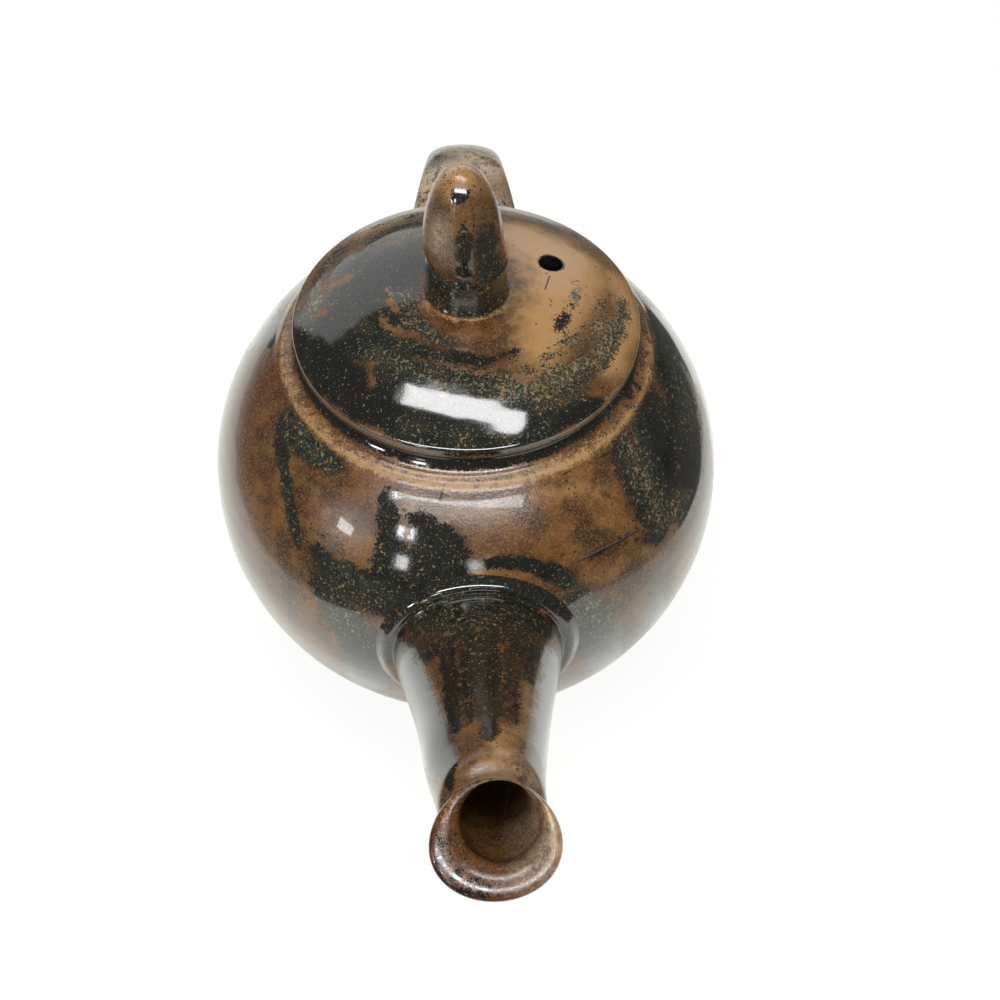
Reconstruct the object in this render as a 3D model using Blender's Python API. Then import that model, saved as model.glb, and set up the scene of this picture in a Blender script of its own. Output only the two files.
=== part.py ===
"""Stoneware teapot with a lift-off lid, made the way a potter makes it.

A thrown globe stands on a turned foot. A neck ring carries the lid, a pierced strainer lies flush in the
wall behind the spout, and the spout and the strap handle are set on the globe. The lid is a shallow dome
with a locating flange below and a bullet-shaped knob on top.
The origin is on the pot's axis, on the table. The spout points to -Y and the handle to +Y.
"""

import math

import bmesh
import bpy
from mathutils import Vector

# Driving sizes, in metres
BODY_RADIUS = 0.060
BODY_HALF_HEIGHT = 0.058
BODY_WALL = 0.0045
FLOOR_THICKNESS = 0.005
FOOT_RADIUS = 0.031
FOOT_HEIGHT = 0.0045
FOOT_CHAMFER = 0.0008
JOINT_GAP = 0.0003
CUT_OVERRUN = 0.004

# Neck ring
NECK_ROOT_RADIUS = 0.0408
NECK_FLARE = 0.0042
NECK_TOP_RADIUS = NECK_ROOT_RADIUS - NECK_FLARE
NECK_BORE_RADIUS = 0.0295
NECK_HEIGHT = 0.0041
NECK_LIP_HEIGHT = 0.0012

# Lid
LID_OVERHANG = 0.0009
LID_RADIUS = NECK_TOP_RADIUS + LID_OVERHANG
LID_EDGE_HEIGHT = 0.0030
LID_EDGE_ROUNDING = 0.0007
LID_RISE = 0.0088
LID_THICKNESS = 0.0045
FLANGE_CLEARANCE = 0.0012
FLANGE_RADIUS = NECK_BORE_RADIUS - FLANGE_CLEARANCE
FLANGE_WALL = 0.0035
FLANGE_DEPTH = 0.0090
STEAM_HOLE_RADIUS = 0.0025
STEAM_HOLE_FROM_AXIS = 0.0205
STEAM_HOLE_TURN = math.radians(114)

# Knob
KNOB_STEM_RADIUS = 0.0078
KNOB_FOOT_RADIUS = 0.0083
KNOB_STEM_HEIGHT = 0.0110
KNOB_CAP_RADIUS = 0.0084
KNOB_CAP_HEIGHT = 0.0200

# Spout: rises are above the globe's middle, and the reach is from the root to the mouth's centre
SPOUT_ROOT_RISE = 0.0075
SPOUT_ROOT_RADIUS = 0.0182
SPOUT_NECK_RADIUS = 0.0096
SPOUT_WALL = 0.0035
SPOUT_REACH = 0.0551
SPOUT_MOUTH_RISE = 0.0420
SPOUT_MOUTH_BORE_RADIUS = 0.0083
SPOUT_LIP_SIDE_WALL = 0.0031
SPOUT_LIP_UPRIGHT_WALL = 0.0021
SPOUT_LIP_HEIGHT = 0.0012
SPOUT_LIP_FORWARD = 0.0010
SPOUT_ROOT_SLOPE = math.radians(20)
SPOUT_MOUTH_SLOPE = math.radians(60)
COLLAR_BEAD_RADIUS = 0.0030

# Strainer in the wall behind the spout
OUTLET_LEDGE = 0.0017
OUTLET_RADIUS = SPOUT_ROOT_RADIUS - SPOUT_WALL - OUTLET_LEDGE
STRAINER_HOLE_RADIUS = 0.0011
STRAINER_RIM = 0.0017
STRAINER_RINGS = 3

# Handle: rises are above the globe's middle, and reaches are out from the globe's widest part
HANDLE_TOP_ROOT_RISE = 0.027
HANDLE_CREST_REACH = 0.007
HANDLE_CREST_RISE = 0.0352
HANDLE_OUTER_REACH = 0.0325
HANDLE_OUTER_RISE = 0.006
HANDLE_LOW_ROOT_RISE = -0.0285
HANDLE_ROOT_INSET = 0.005
HANDLE_TOP_WIDTH = 0.030
HANDLE_CREST_WIDTH = 0.022
HANDLE_GRIP_WIDTH = 0.016
HANDLE_LOW_WIDTH = 0.021
HANDLE_ROOT_THICKNESS = 0.0095
HANDLE_GRIP_THICKNESS = 0.0070
HANDLE_OFF_LINE = math.radians(1.8)

# How finely the round pieces are divided
ROUND_SEGMENTS = 48
TUBE_SEGMENTS = 28
KNOB_SEGMENTS = 32
STRAP_SEGMENTS = 16
STRAINER_HOLE_SEGMENTS = 8
STEAM_HOLE_SEGMENTS = 20
WELD_DISTANCE = 1e-6

# Heights that follow from the driving sizes
BASE_TOP = FOOT_HEIGHT + JOINT_GAP
BODY_MIDDLE = BASE_TOP + BODY_HALF_HEIGHT * math.sqrt(1 - (FOOT_RADIUS / BODY_RADIUS) ** 2)
MOUTH_CUT = BODY_MIDDLE + BODY_HALF_HEIGHT * math.sqrt(1 - (NECK_ROOT_RADIUS / BODY_RADIUS) ** 2)
NECK_FOOT = MOUTH_CUT + JOINT_GAP
SEAT = NECK_FOOT + NECK_HEIGHT
LID_UNDERSIDE = SEAT + JOINT_GAP
LID_TOP = LID_UNDERSIDE + LID_EDGE_HEIGHT + LID_RISE
KNOB_FOOT = LID_TOP + JOINT_GAP
KNOB_BREAK = KNOB_FOOT + KNOB_STEM_HEIGHT

GLAZES = {
    "brown": ((0.16, 0.070, 0.030), 0.22),
    "tan": ((0.30, 0.19, 0.095), 0.25),
    "black": ((0.012, 0.010, 0.009), 0.12),
    "bare_clay": ((0.34, 0.25, 0.17), 0.70),
}


def clear_scene():
    """Remove every object that the file opened with."""
    for item in list(bpy.data.objects):
        bpy.data.objects.remove(item, do_unlink=True)


def glaze(name):
    """One Principled material for each glaze."""
    if name in bpy.data.materials:
        return bpy.data.materials[name]
    colour, roughness = GLAZES[name]
    material = bpy.data.materials.new(name)
    material.use_nodes = True
    shader = material.node_tree.nodes["Principled BSDF"]
    shader.inputs["Base Color"].default_value = (*colour, 1)
    shader.inputs["Roughness"].default_value = roughness
    shader.inputs["Metallic"].default_value = 0
    return material


def add_object(name, mesh_builder, material=None):
    """Link a finished bmesh as an object. One without a material is a cutter."""
    mesh = bpy.data.meshes.new(name)
    bmesh.ops.recalc_face_normals(mesh_builder, faces=mesh_builder.faces)
    mesh_builder.to_mesh(mesh)
    mesh_builder.free()
    item = bpy.data.objects.new(name, mesh)
    bpy.context.scene.collection.objects.link(item)
    if material:
        mesh.shade_smooth()
        mesh.set_sharp_from_angle(angle=math.radians(40))
        mesh.materials.append(glaze(material))
    else:
        item.hide_render = True
        item.display_type = "WIRE"
    return item


def cut(item, cutter, operation="DIFFERENCE"):
    """Cut or keep what a second object covers."""
    modifier = item.modifiers.new(cutter.name, "BOOLEAN")
    modifier.operation = operation
    modifier.object = cutter
    modifier.solver = "EXACT"


def turned(outline, segments):
    """Turn an outline of (radius, height) points about the upright axis into a closed solid."""
    builder = bmesh.new()
    verts = [builder.verts.new((radius, 0, height)) for radius, height in outline]
    edges = [builder.edges.new(pair) for pair in zip(verts, verts[1:])]
    if min(radius for radius, height in outline) > 0:
        edges.append(builder.edges.new((verts[-1], verts[0])))
    bmesh.ops.spin(
        builder,
        geom=verts + edges,
        cent=(0, 0, 0),
        axis=(0, 0, 1),
        angle=math.tau,
        steps=segments,
    )
    bmesh.ops.remove_doubles(builder, verts=builder.verts, dist=WELD_DISTANCE)
    return builder


def lofted(rings, closed):
    """Bridge rings of points into a solid. A closed loft ends where it starts, an open one gets two caps."""
    builder = bmesh.new()
    loops = [[builder.verts.new(point) for point in ring] for ring in rings]
    pairs = list(zip(loops, loops[1:]))
    if closed:
        pairs.append((loops[-1], loops[0]))
    for first, second in pairs:
        for index in range(len(first)):
            after = (index + 1) % len(first)
            builder.faces.new((first[index], first[after], second[after], second[index]))
    if not closed:
        builder.faces.new(loops[0])
        builder.faces.new(loops[-1])
    return builder


def ellipse_radius(radius, half_height, rise):
    """The radius of an upright ellipse turned about its axis, at a rise above its middle."""
    return radius * math.sqrt(1 - (rise / half_height) ** 2)


def blend(start, end, share):
    return start + (end - start) * share


def smooth_curve(points, steps):
    """Points along a smooth curve through the given ones, with the given steps between each two."""
    points = [Vector(point) for point in points]
    padded = [points[0] * 2 - points[1], *points, points[-1] * 2 - points[-2]]
    curve = []
    for before, start, end, after in zip(padded, padded[1:], padded[2:], padded[3:]):
        for step in range(steps):
            share = step / steps
            slope_in = (end - before) / 2
            slope_out = (after - start) / 2
            curve.append(
                start * (2 * share**3 - 3 * share**2 + 1)
                + slope_in * (share**3 - 2 * share**2 + share)
                + end * (3 * share**2 - 2 * share**3)
                + slope_out * (share**3 - share**2)
            )
    curve.append(points[-1])
    return curve


# Globe

GLOBE_RINGS = 18
GLOBE_INNER_RINGS = 12


def globe_arc(inset, low, high, rings):
    """Points up the globe's side, set in from its surface, between two heights."""
    radius = BODY_RADIUS - inset
    half_height = BODY_HALF_HEIGHT - inset
    start = math.asin((low - BODY_MIDDLE) / half_height)
    end = math.asin((high - BODY_MIDDLE) / half_height)
    angles = [blend(start, end, step / rings) for step in range(rings + 1)]
    return [(radius * math.cos(a), BODY_MIDDLE + half_height * math.sin(a)) for a in angles]


def globe_shell():
    """The thrown wall, cut flat at the foot and the mouth, with a flat floor inside."""
    outer = globe_arc(0, BASE_TOP, MOUTH_CUT, GLOBE_RINGS)
    inner = globe_arc(BODY_WALL, BASE_TOP + FLOOR_THICKNESS, MOUTH_CUT, GLOBE_INNER_RINGS)
    floor = (0, BASE_TOP + FLOOR_THICKNESS)
    return turned([(0, BASE_TOP), *outer, *reversed(inner), floor], ROUND_SEGMENTS)


def globe_solid():
    """The globe as a solid, larger by the joint gap, which trims what is set on it."""
    low = BODY_MIDDLE - BODY_HALF_HEIGHT
    high = BODY_MIDDLE + BODY_HALF_HEIGHT
    arc = globe_arc(-JOINT_GAP, low, high, GLOBE_RINGS * 2)
    return turned([(0, low - JOINT_GAP), *arc[1:-1], (0, high + JOINT_GAP)], ROUND_SEGMENTS)


# Spout

SPOUT_RINGS = 9
SPOUT_START_SHARE = 0.78
# How the middle line climbs between root and mouth, as shares of the way forward and of the rise
SPOUT_WAY_SHARES = ((0.0, 0.0), (0.28, 0.22), (0.56, 0.50), (0.79, 0.76), (1.0, 1.0))
SPOUT_TAPER_SHARE = 0.85
SPOUT_TAPER_POWER = 1.6


def spout_root_forward():
    """How far forward the globe's surface lies at the height of the spout's root."""
    return ellipse_radius(BODY_RADIUS, BODY_HALF_HEIGHT, SPOUT_ROOT_RISE)


def spout_middle(share):
    """The middle line at a share of the way from root to mouth, as (forward, height)."""
    points = [
        (spout_root_forward() + SPOUT_REACH * way, blend(SPOUT_ROOT_RISE, SPOUT_MOUTH_RISE, climb), 0)
        for way, climb in SPOUT_WAY_SHARES
    ]
    steps = 24
    curve = smooth_curve(points, steps)
    place = share * (len(curve) - 1)
    index = min(int(place), len(curve) - 2)
    point = curve[index].lerp(curve[index + 1], place - index)
    return point.x, BODY_MIDDLE + point.y


def spout_slope(share):
    return blend(SPOUT_ROOT_SLOPE, SPOUT_MOUTH_SLOPE, max(share, 0) ** 2)


def spout_radius(share):
    """The outer radius: a wide root that narrows to the neck just behind the mouth."""
    narrowing = max(0, 1 - share / SPOUT_TAPER_SHARE) ** SPOUT_TAPER_POWER
    return blend(SPOUT_NECK_RADIUS, SPOUT_ROOT_RADIUS, narrowing)


def spout_ring(forward, height, slope, radius, upright=None, drop=0, lift=0):
    """A ring square to the slope. Drop moves it down its own plane, lift moves it along the slope.

    Where its upright radius differs, the ring is an egg, narrower at the top.
    """
    upright = upright or radius
    egg_share = 1 - upright / radius
    forward += drop * math.sin(slope) + lift * math.cos(slope)
    height += lift * math.sin(slope) - drop * math.cos(slope)
    ring = []
    for index in range(TUBE_SEGMENTS):
        angle = math.tau * index / TUBE_SEGMENTS
        side = radius * math.cos(angle) * (1 - egg_share * math.sin(angle))
        up = upright * math.sin(angle)
        ring.append((side, -(forward - up * math.sin(slope)), height + up * math.cos(slope)))
    return ring


def spout_side(extra, last_share):
    """Rings up the tube, its radius changed by extra, from inside the globe to a share of the way."""
    forward, height = spout_middle(0)
    start = forward * SPOUT_START_SHARE
    start_height = height - (forward - start) * math.tan(SPOUT_ROOT_SLOPE)
    rings = [spout_ring(start, start_height, SPOUT_ROOT_SLOPE, SPOUT_ROOT_RADIUS + extra)]
    for step in range(SPOUT_RINGS + 1):
        share = last_share * step / SPOUT_RINGS
        rings.append(spout_ring(*spout_middle(share), spout_slope(share), spout_radius(share) + extra))
    return rings


# The lip's rings: radius from bore to lip, drop and lift, each as a share
LIP_SHARES = ((0.55, 0.30, -3.2), (0.84, 0.75, -1.5), (1.0, 1.0, 0.0), (0.90, 1.0, 0.75), (0.66, 0.9, 1.0))
LIP_BORE_SHARES = ((0.36, 0.7, 0.65), (0.14, 0.4, -0.6), (0.0, 0.1, -2.6))
SPOUT_SIDE_END_SHARE = 0.90


def spout_lip(shares):
    """Rings of the rolled lip. It reaches further on the far side, where the tea runs off."""
    mouth = spout_middle(1)
    return [
        spout_ring(
            *mouth,
            SPOUT_MOUTH_SLOPE,
            SPOUT_MOUTH_BORE_RADIUS + SPOUT_LIP_SIDE_WALL * wide,
            SPOUT_MOUTH_BORE_RADIUS + SPOUT_LIP_UPRIGHT_WALL * wide,
            SPOUT_LIP_FORWARD * drop,
            SPOUT_LIP_HEIGHT * lift,
        )
        for wide, drop, lift in shares
    ]


def spout_solid(extra):
    """The spout's root and tube without its bore, which trims the pieces round it."""
    return lofted(spout_side(extra, SPOUT_SIDE_END_SHARE), closed=False)


def spout_shell():
    outside = [*spout_side(0, SPOUT_SIDE_END_SHARE), *spout_lip(LIP_SHARES)]
    inside = [*spout_side(-SPOUT_WALL, SPOUT_SIDE_END_SHARE), *reversed(spout_lip(LIP_BORE_SHARES))]
    return lofted([*outside, *reversed(inside)], closed=True)


# Collar: a coil of clay pressed round the spout's root


def root_point(angle, radius):
    """Where a line along the spout's root, at an angle round it, meets the globe."""
    forward, height = spout_middle(0)
    along = Vector((0, -math.cos(SPOUT_ROOT_SLOPE), math.sin(SPOUT_ROOT_SLOPE)))
    side = Vector((1, 0, 0))
    up = side.cross(along) * -1
    start = Vector((0, -forward, height)) + (side * math.cos(angle) + up * math.sin(angle)) * radius
    middle = Vector((0, 0, BODY_MIDDLE))
    scale = Vector((1 / BODY_RADIUS, 1 / BODY_RADIUS, 1 / BODY_HALF_HEIGHT))
    offset = (start - middle) * scale
    way = along * scale
    square = way.dot(way)
    half = offset.dot(way)
    rest = offset.dot(offset) - 1
    return start + along * ((math.sqrt(half * half - square * rest) - half) / square)


def collar_bead():
    """A round bead along the line where the spout meets the globe."""
    path = [root_point(math.tau * i / TUBE_SEGMENTS, SPOUT_ROOT_RADIUS) for i in range(TUBE_SEGMENTS)]
    rings = []
    for index, point in enumerate(path):
        ahead = (path[(index + 1) % len(path)] - path[index - 1]).normalized()
        out = (point - Vector((0, 0, BODY_MIDDLE))).normalized()
        across = ahead.cross(out).normalized()
        out = across.cross(ahead)
        ring = []
        for step in range(STRAP_SEGMENTS):
            angle = math.tau * step / STRAP_SEGMENTS
            ring.append(point + (out * math.sin(angle) + across * math.cos(angle)) * COLLAR_BEAD_RADIUS)
        rings.append(ring)
    return lofted(rings, closed=True)


# Outlet and strainer


def outlet_rod(radius, places, segments):
    """Rods along the outlet's axis through the front wall, one at each place across it."""
    builder = bmesh.new()
    forward, height = spout_middle(0)
    along = Vector((0, -math.cos(SPOUT_ROOT_SLOPE), math.sin(SPOUT_ROOT_SLOPE)))
    side = Vector((1, 0, 0))
    up = side.cross(along) * -1
    for across, above in places:
        middle = Vector((0, -forward, height)) + side * across + up * above
        ends = (middle - along * BODY_RADIUS / 2, middle + along * (OUTLET_RADIUS + CUT_OVERRUN))
        loops = []
        for end in ends:
            turns = [math.tau * (index + 0.5) / segments for index in range(segments)]
            points = [end + (side * math.cos(a) + up * math.sin(a)) * radius for a in turns]
            loops.append([builder.verts.new(point) for point in points])
        for index in range(segments):
            after = (index + 1) % segments
            builder.faces.new((loops[0][index], loops[0][after], loops[1][after], loops[1][index]))
        builder.faces.new(loops[0])
        builder.faces.new(loops[1])
    return builder


def strainer_places():
    """A hole in the middle and rings of six, twelve and so on round it."""
    outermost = OUTLET_RADIUS - JOINT_GAP - STRAINER_RIM - STRAINER_HOLE_RADIUS
    places = [(0, 0)]
    for ring in range(1, STRAINER_RINGS + 1):
        for index in range(6 * ring):
            angle = math.tau * index / (6 * ring)
            away = outermost * ring / STRAINER_RINGS
            places.append((away * math.cos(angle), away * math.sin(angle)))
    return places


# Handle

HANDLE_STEPS = 3
# Between the named places, as shares of the way back and of the rise between them
HANDLE_SHOULDER_SHARES = (0.42, 0.80)
HANDLE_BACK_SHARES = (0.72, 0.34)
HANDLE_HEEL_SHARES = (0.22, 0.42)
HANDLE_TAIL_SHARES = (0.62, 0.80)
HANDLE_SQUARENESS = 0.85


def handle_middle():
    """The strap's middle line as (back, rise), from the top root over the crest to the low root."""
    top_back, low_back = [
        ellipse_radius(BODY_RADIUS, BODY_HALF_HEIGHT, rise) - HANDLE_ROOT_INSET
        for rise in (HANDLE_TOP_ROOT_RISE, HANDLE_LOW_ROOT_RISE)
    ]
    top = (top_back, HANDLE_TOP_ROOT_RISE)
    crest = (BODY_RADIUS + HANDLE_CREST_REACH, HANDLE_CREST_RISE)
    outer = (BODY_RADIUS + HANDLE_OUTER_REACH, HANDLE_OUTER_RISE)
    low = (low_back, HANDLE_LOW_ROOT_RISE)

    def between(start, end, shares):
        return blend(start[0], end[0], shares[0]), blend(start[1], end[1], shares[1])

    shoulder = between(top, crest, HANDLE_SHOULDER_SHARES)
    back = between(crest, outer, HANDLE_BACK_SHARES)
    heel = between(outer, low, HANDLE_HEEL_SHARES)
    tail = between(outer, low, HANDLE_TAIL_SHARES)
    places = [top, shoulder, crest, back, outer, heel, tail, low]
    return smooth_curve([(*place, 0) for place in places], HANDLE_STEPS)


def handle_sizes(share):
    """The strap's width and thickness at a share of its length."""
    widths = (HANDLE_TOP_WIDTH, HANDLE_CREST_WIDTH, HANDLE_GRIP_WIDTH, HANDLE_GRIP_WIDTH, HANDLE_LOW_WIDTH)
    place = share * (len(widths) - 1)
    index = min(int(place), len(widths) - 2)
    width = blend(widths[index], widths[index + 1], place - index)
    thickness = blend(HANDLE_GRIP_THICKNESS, HANDLE_ROOT_THICKNESS, abs(2 * share - 1) ** 4)
    return width, thickness


def squared(value):
    """Push a sine or cosine outwards, so that a round section turns a little square."""
    return math.copysign(abs(value) ** HANDLE_SQUARENESS, value)


def handle_strap():
    """A pulled strap: wide and flat at the top, narrower at the grip, with a soft oval section."""
    line = handle_middle()
    rings = []
    for index, point in enumerate(line):
        ahead = (line[min(index + 1, len(line) - 1)] - line[max(index - 1, 0)]).normalized()
        width, thickness = handle_sizes(index / (len(line) - 1))
        ring = []
        for step in range(STRAP_SEGMENTS):
            angle = math.tau * step / STRAP_SEGMENTS
            across = squared(math.cos(angle)) * width / 2
            through = squared(math.sin(angle)) * thickness / 2
            back = point.x - ahead.y * through
            ring.append((across, back, BODY_MIDDLE + point.y + ahead.x * through))
        rings.append(ring)
    builder = lofted(rings, closed=False)
    turn = -HANDLE_OFF_LINE
    for vert in builder.verts:
        side, back = vert.co.x, vert.co.y
        vert.co.x = side * math.cos(turn) - back * math.sin(turn)
        vert.co.y = side * math.sin(turn) + back * math.cos(turn)
    return builder


# Lid

LID_DOME_RINGS = 9
LID_HOLLOW_RINGS = 5
LID_DOME_POWER = 2.2
KNOB_CAP_RINGS = 9
KNOB_CAP_POWER = 2.2
NECK_CURVE_RINGS = 4


def foot_outline():
    waist = FOOT_RADIUS - FOOT_CHAMFER
    return [(0, FOOT_HEIGHT), (FOOT_RADIUS, FOOT_HEIGHT), (FOOT_RADIUS, FOOT_CHAMFER), (waist, 0), (0, 0)]


def neck_outline():
    """A low ring with a hollow outer side and a level seat for the lid."""
    lip = SEAT - NECK_LIP_HEIGHT
    curve = []
    for step in range(NECK_CURVE_RINGS + 1):
        angle = math.pi / 2 * step / NECK_CURVE_RINGS
        radius = blend(NECK_TOP_RADIUS, NECK_ROOT_RADIUS, 1 - math.sin(angle))
        curve.append((radius, blend(NECK_FOOT, lip, 1 - math.cos(angle))))
    return [*curve, (NECK_TOP_RADIUS, SEAT), (NECK_BORE_RADIUS, SEAT), (NECK_BORE_RADIUS, NECK_FOOT)]


def lid_outline():
    """A shallow dome with an upright edge, a level land for the knob and a hollow below."""
    edge_top = LID_UNDERSIDE + LID_EDGE_HEIGHT
    dome = []
    for step in range(LID_DOME_RINGS + 1):
        share = math.cos(math.pi / 2 * step / LID_DOME_RINGS)
        radius = blend(KNOB_FOOT_RADIUS, LID_RADIUS, share)
        dome.append((radius, edge_top + LID_RISE * (1 - share**LID_DOME_POWER)))
    hollow_radius = FLANGE_RADIUS - FLANGE_WALL
    hollow_rise = LID_TOP - LID_THICKNESS - LID_UNDERSIDE
    hollow = []
    for step in range(LID_HOLLOW_RINGS + 1):
        angle = math.pi / 2 * step / LID_HOLLOW_RINGS
        hollow.append((hollow_radius * math.cos(angle), LID_UNDERSIDE + hollow_rise * math.sin(angle)))
    hollow[-1] = (0, LID_UNDERSIDE + hollow_rise)
    edge = (LID_RADIUS, LID_UNDERSIDE + LID_EDGE_ROUNDING)
    under = (LID_RADIUS - LID_EDGE_ROUNDING, LID_UNDERSIDE)
    return [(0, LID_TOP), *reversed(dome), edge, under, *hollow]


def flange_outline():
    top = LID_UNDERSIDE - JOINT_GAP
    low = top - FLANGE_DEPTH
    inner = FLANGE_RADIUS - FLANGE_WALL
    nose = inner + FLANGE_WALL / 2
    shoulder = low + FLANGE_WALL / 2
    return [(FLANGE_RADIUS, top), (FLANGE_RADIUS, shoulder), (nose, low), (inner, low), (inner, top)]


def knob_outline():
    """A short stem under a bullet-shaped cap that stands a little proud of it."""
    stem_middle = KNOB_FOOT + KNOB_STEM_HEIGHT / 2
    outline = [(0, KNOB_FOOT), (KNOB_FOOT_RADIUS, KNOB_FOOT)]
    outline.append((KNOB_STEM_RADIUS, blend(KNOB_FOOT, stem_middle, 0.5)))
    outline.append((KNOB_STEM_RADIUS, blend(stem_middle, KNOB_BREAK, 0.8)))
    for step in range(KNOB_CAP_RINGS):
        share = math.sin(math.pi / 2 * step / KNOB_CAP_RINGS)
        radius = KNOB_CAP_RADIUS * (1 - share**KNOB_CAP_POWER) ** (1 / KNOB_CAP_POWER)
        outline.append((radius, KNOB_BREAK + KNOB_CAP_HEIGHT * share))
    outline.append((0, KNOB_BREAK + KNOB_CAP_HEIGHT))
    return outline


def steam_hole_rod():
    """A rod through the lid where the steam hole is."""
    builder = bmesh.new()
    bmesh.ops.create_cone(
        builder,
        cap_ends=True,
        segments=STEAM_HOLE_SEGMENTS,
        radius1=STEAM_HOLE_RADIUS,
        radius2=STEAM_HOLE_RADIUS,
        depth=(LID_TOP - LID_UNDERSIDE) + CUT_OVERRUN,
    )
    away = STEAM_HOLE_FROM_AXIS
    middle = blend(LID_UNDERSIDE, LID_TOP, 0.5)
    place = Vector((away * math.sin(STEAM_HOLE_TURN), -away * math.cos(STEAM_HOLE_TURN), middle))
    bmesh.ops.translate(builder, verts=builder.verts, vec=place)
    return builder


def build_pot():
    """The pieces that stay on the table."""
    outlet = add_object("outlet_cutter", outlet_rod(OUTLET_RADIUS, [(0, 0)], TUBE_SEGMENTS))
    globe = add_object("globe_cutter", globe_solid())
    spout_block = add_object("spout_cutter", spout_solid(JOINT_GAP))
    plug = add_object("strainer_keeper", outlet_rod(OUTLET_RADIUS - JOINT_GAP, [(0, 0)], TUBE_SEGMENTS))
    pierced = outlet_rod(STRAINER_HOLE_RADIUS, strainer_places(), STRAINER_HOLE_SEGMENTS)
    holes = add_object("strainer_holes", pierced)

    body = add_object("pot_body", globe_shell(), "brown")
    cut(body, outlet)
    strainer = add_object("strainer", globe_shell(), "bare_clay")
    cut(strainer, plug, "INTERSECT")
    cut(strainer, holes)
    add_object("foot", turned(foot_outline(), ROUND_SEGMENTS), "bare_clay")
    add_object("mouth_ring", turned(neck_outline(), ROUND_SEGMENTS), "tan")
    spout = add_object("spout", spout_shell(), "black")
    cut(spout, globe)
    collar = add_object("spout_collar", collar_bead(), "black")
    cut(collar, globe)
    cut(collar, spout_block)
    handle = add_object("handle", handle_strap(), "tan")
    cut(handle, globe)


def build_lid():
    """The pieces that lift off together."""
    lift_axis = bpy.data.objects.new("lid_lift_axis", None)
    bpy.context.scene.collection.objects.link(lift_axis)
    hole = add_object("steam_hole_cutter", steam_hole_rod())
    cover = add_object("lid_cover", turned(lid_outline(), ROUND_SEGMENTS), "brown")
    cut(cover, hole)
    flange = add_object("lid_flange", turned(flange_outline(), ROUND_SEGMENTS), "bare_clay")
    knob = add_object("knob", turned(knob_outline(), KNOB_SEGMENTS), "brown")
    for piece in (cover, flange, knob):
        piece.parent = lift_axis


def main():
    clear_scene()
    build_pot()
    build_lid()


main()
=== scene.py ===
"""Looks for the stoneware teapot: the fired clay forms, their poured glazes and a plain white table.

Each piece is made at its real place, in metres, on the pot's upright axis. The spout points to -Y.
"""

import math
from functools import reduce

import bmesh
import bpy
import numpy as np
from mathutils import Matrix, Vector, noise


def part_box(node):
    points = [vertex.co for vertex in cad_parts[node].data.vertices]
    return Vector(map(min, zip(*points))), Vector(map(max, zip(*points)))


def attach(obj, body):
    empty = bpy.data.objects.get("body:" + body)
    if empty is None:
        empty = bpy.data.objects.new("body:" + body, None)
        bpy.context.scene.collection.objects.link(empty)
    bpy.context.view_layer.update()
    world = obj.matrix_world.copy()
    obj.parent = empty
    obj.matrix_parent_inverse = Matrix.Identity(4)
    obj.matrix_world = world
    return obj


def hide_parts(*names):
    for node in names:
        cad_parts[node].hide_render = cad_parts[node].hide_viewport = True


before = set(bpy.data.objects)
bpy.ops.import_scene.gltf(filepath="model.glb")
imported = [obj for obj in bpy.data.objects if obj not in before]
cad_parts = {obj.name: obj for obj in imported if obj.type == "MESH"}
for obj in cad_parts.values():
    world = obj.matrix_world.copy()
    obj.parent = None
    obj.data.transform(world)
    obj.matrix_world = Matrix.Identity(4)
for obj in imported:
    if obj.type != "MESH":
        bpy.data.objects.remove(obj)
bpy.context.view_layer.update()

bl_info = {
    "name": "Stoneware teapot",
    "version": (1, 0, 0),
    "blender": (4, 5, 0),
    "location": "3D View > Sidebar > Teapot",
    "description": "Models the glazed pieces of a stoneware teapot and its studio table",
    "category": "Add Mesh",
}

MM = 0.001
WELD = 1e-6
COIL_SMOOTHING = 2
# Steps round the thrown pieces
GLOBE_TURNS = 288
LID_TURNS = 256
RING_TURNS = 160
KNOB_TURNS = 128


def node_size(node, axis, end=1):
    """One coordinate of a CAD node's box: end 0 is its low side and 1 its high side."""
    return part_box(node)[end][axis]


# Heights and radii that the frame gives
BASE_TOP = node_size("pot_body", 2, 0)
MOUTH_CUT = node_size("pot_body", 2)
NECK_FOOT = node_size("mouth_ring", 2, 0)
SEAT = node_size("mouth_ring", 2)
NECK_ROOT_RADIUS = node_size("mouth_ring", 0)
FOOT_TOP = node_size("foot", 2)
FOOT_RADIUS = node_size("foot", 0)
LID_UNDERSIDE = node_size("lid_cover", 2, 0)
LID_TOP = node_size("lid_cover", 2)
LID_RADIUS = node_size("lid_cover", 0)
FLANGE_LOW = node_size("lid_flange", 2, 0)
FLANGE_RADIUS = node_size("lid_flange", 0)
KNOB_FOOT = node_size("knob", 2, 0)
KNOB_TOP = node_size("knob", 2)
KNOB_RADIUS = node_size("knob", 0)
BODY_RADIUS = node_size("pot_body", 0)


def plain_colour(red, green, blue):
    """A colour as a painter reads it off a screen, 0 to 255, in the renderer's own scale."""
    parts = []
    for value in (red, green, blue):
        share = value / 255
        parts.append(share / 12.92 if share <= 0.04045 else ((share + 0.055) / 1.055) ** 2.4)
    return tuple(parts)


def length(name, description, default):
    return bpy.props.FloatProperty(
        name=name, description=description, default=default, unit="LENGTH", precision=5
    )


def colour(name, description, default):
    default = plain_colour(*default)
    return bpy.props.FloatVectorProperty(
        name=name, description=description, default=default, subtype="COLOR", size=3, min=0, max=1
    )


def number(name, description, default):
    return bpy.props.FloatProperty(name=name, description=description, default=default, min=0)


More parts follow.
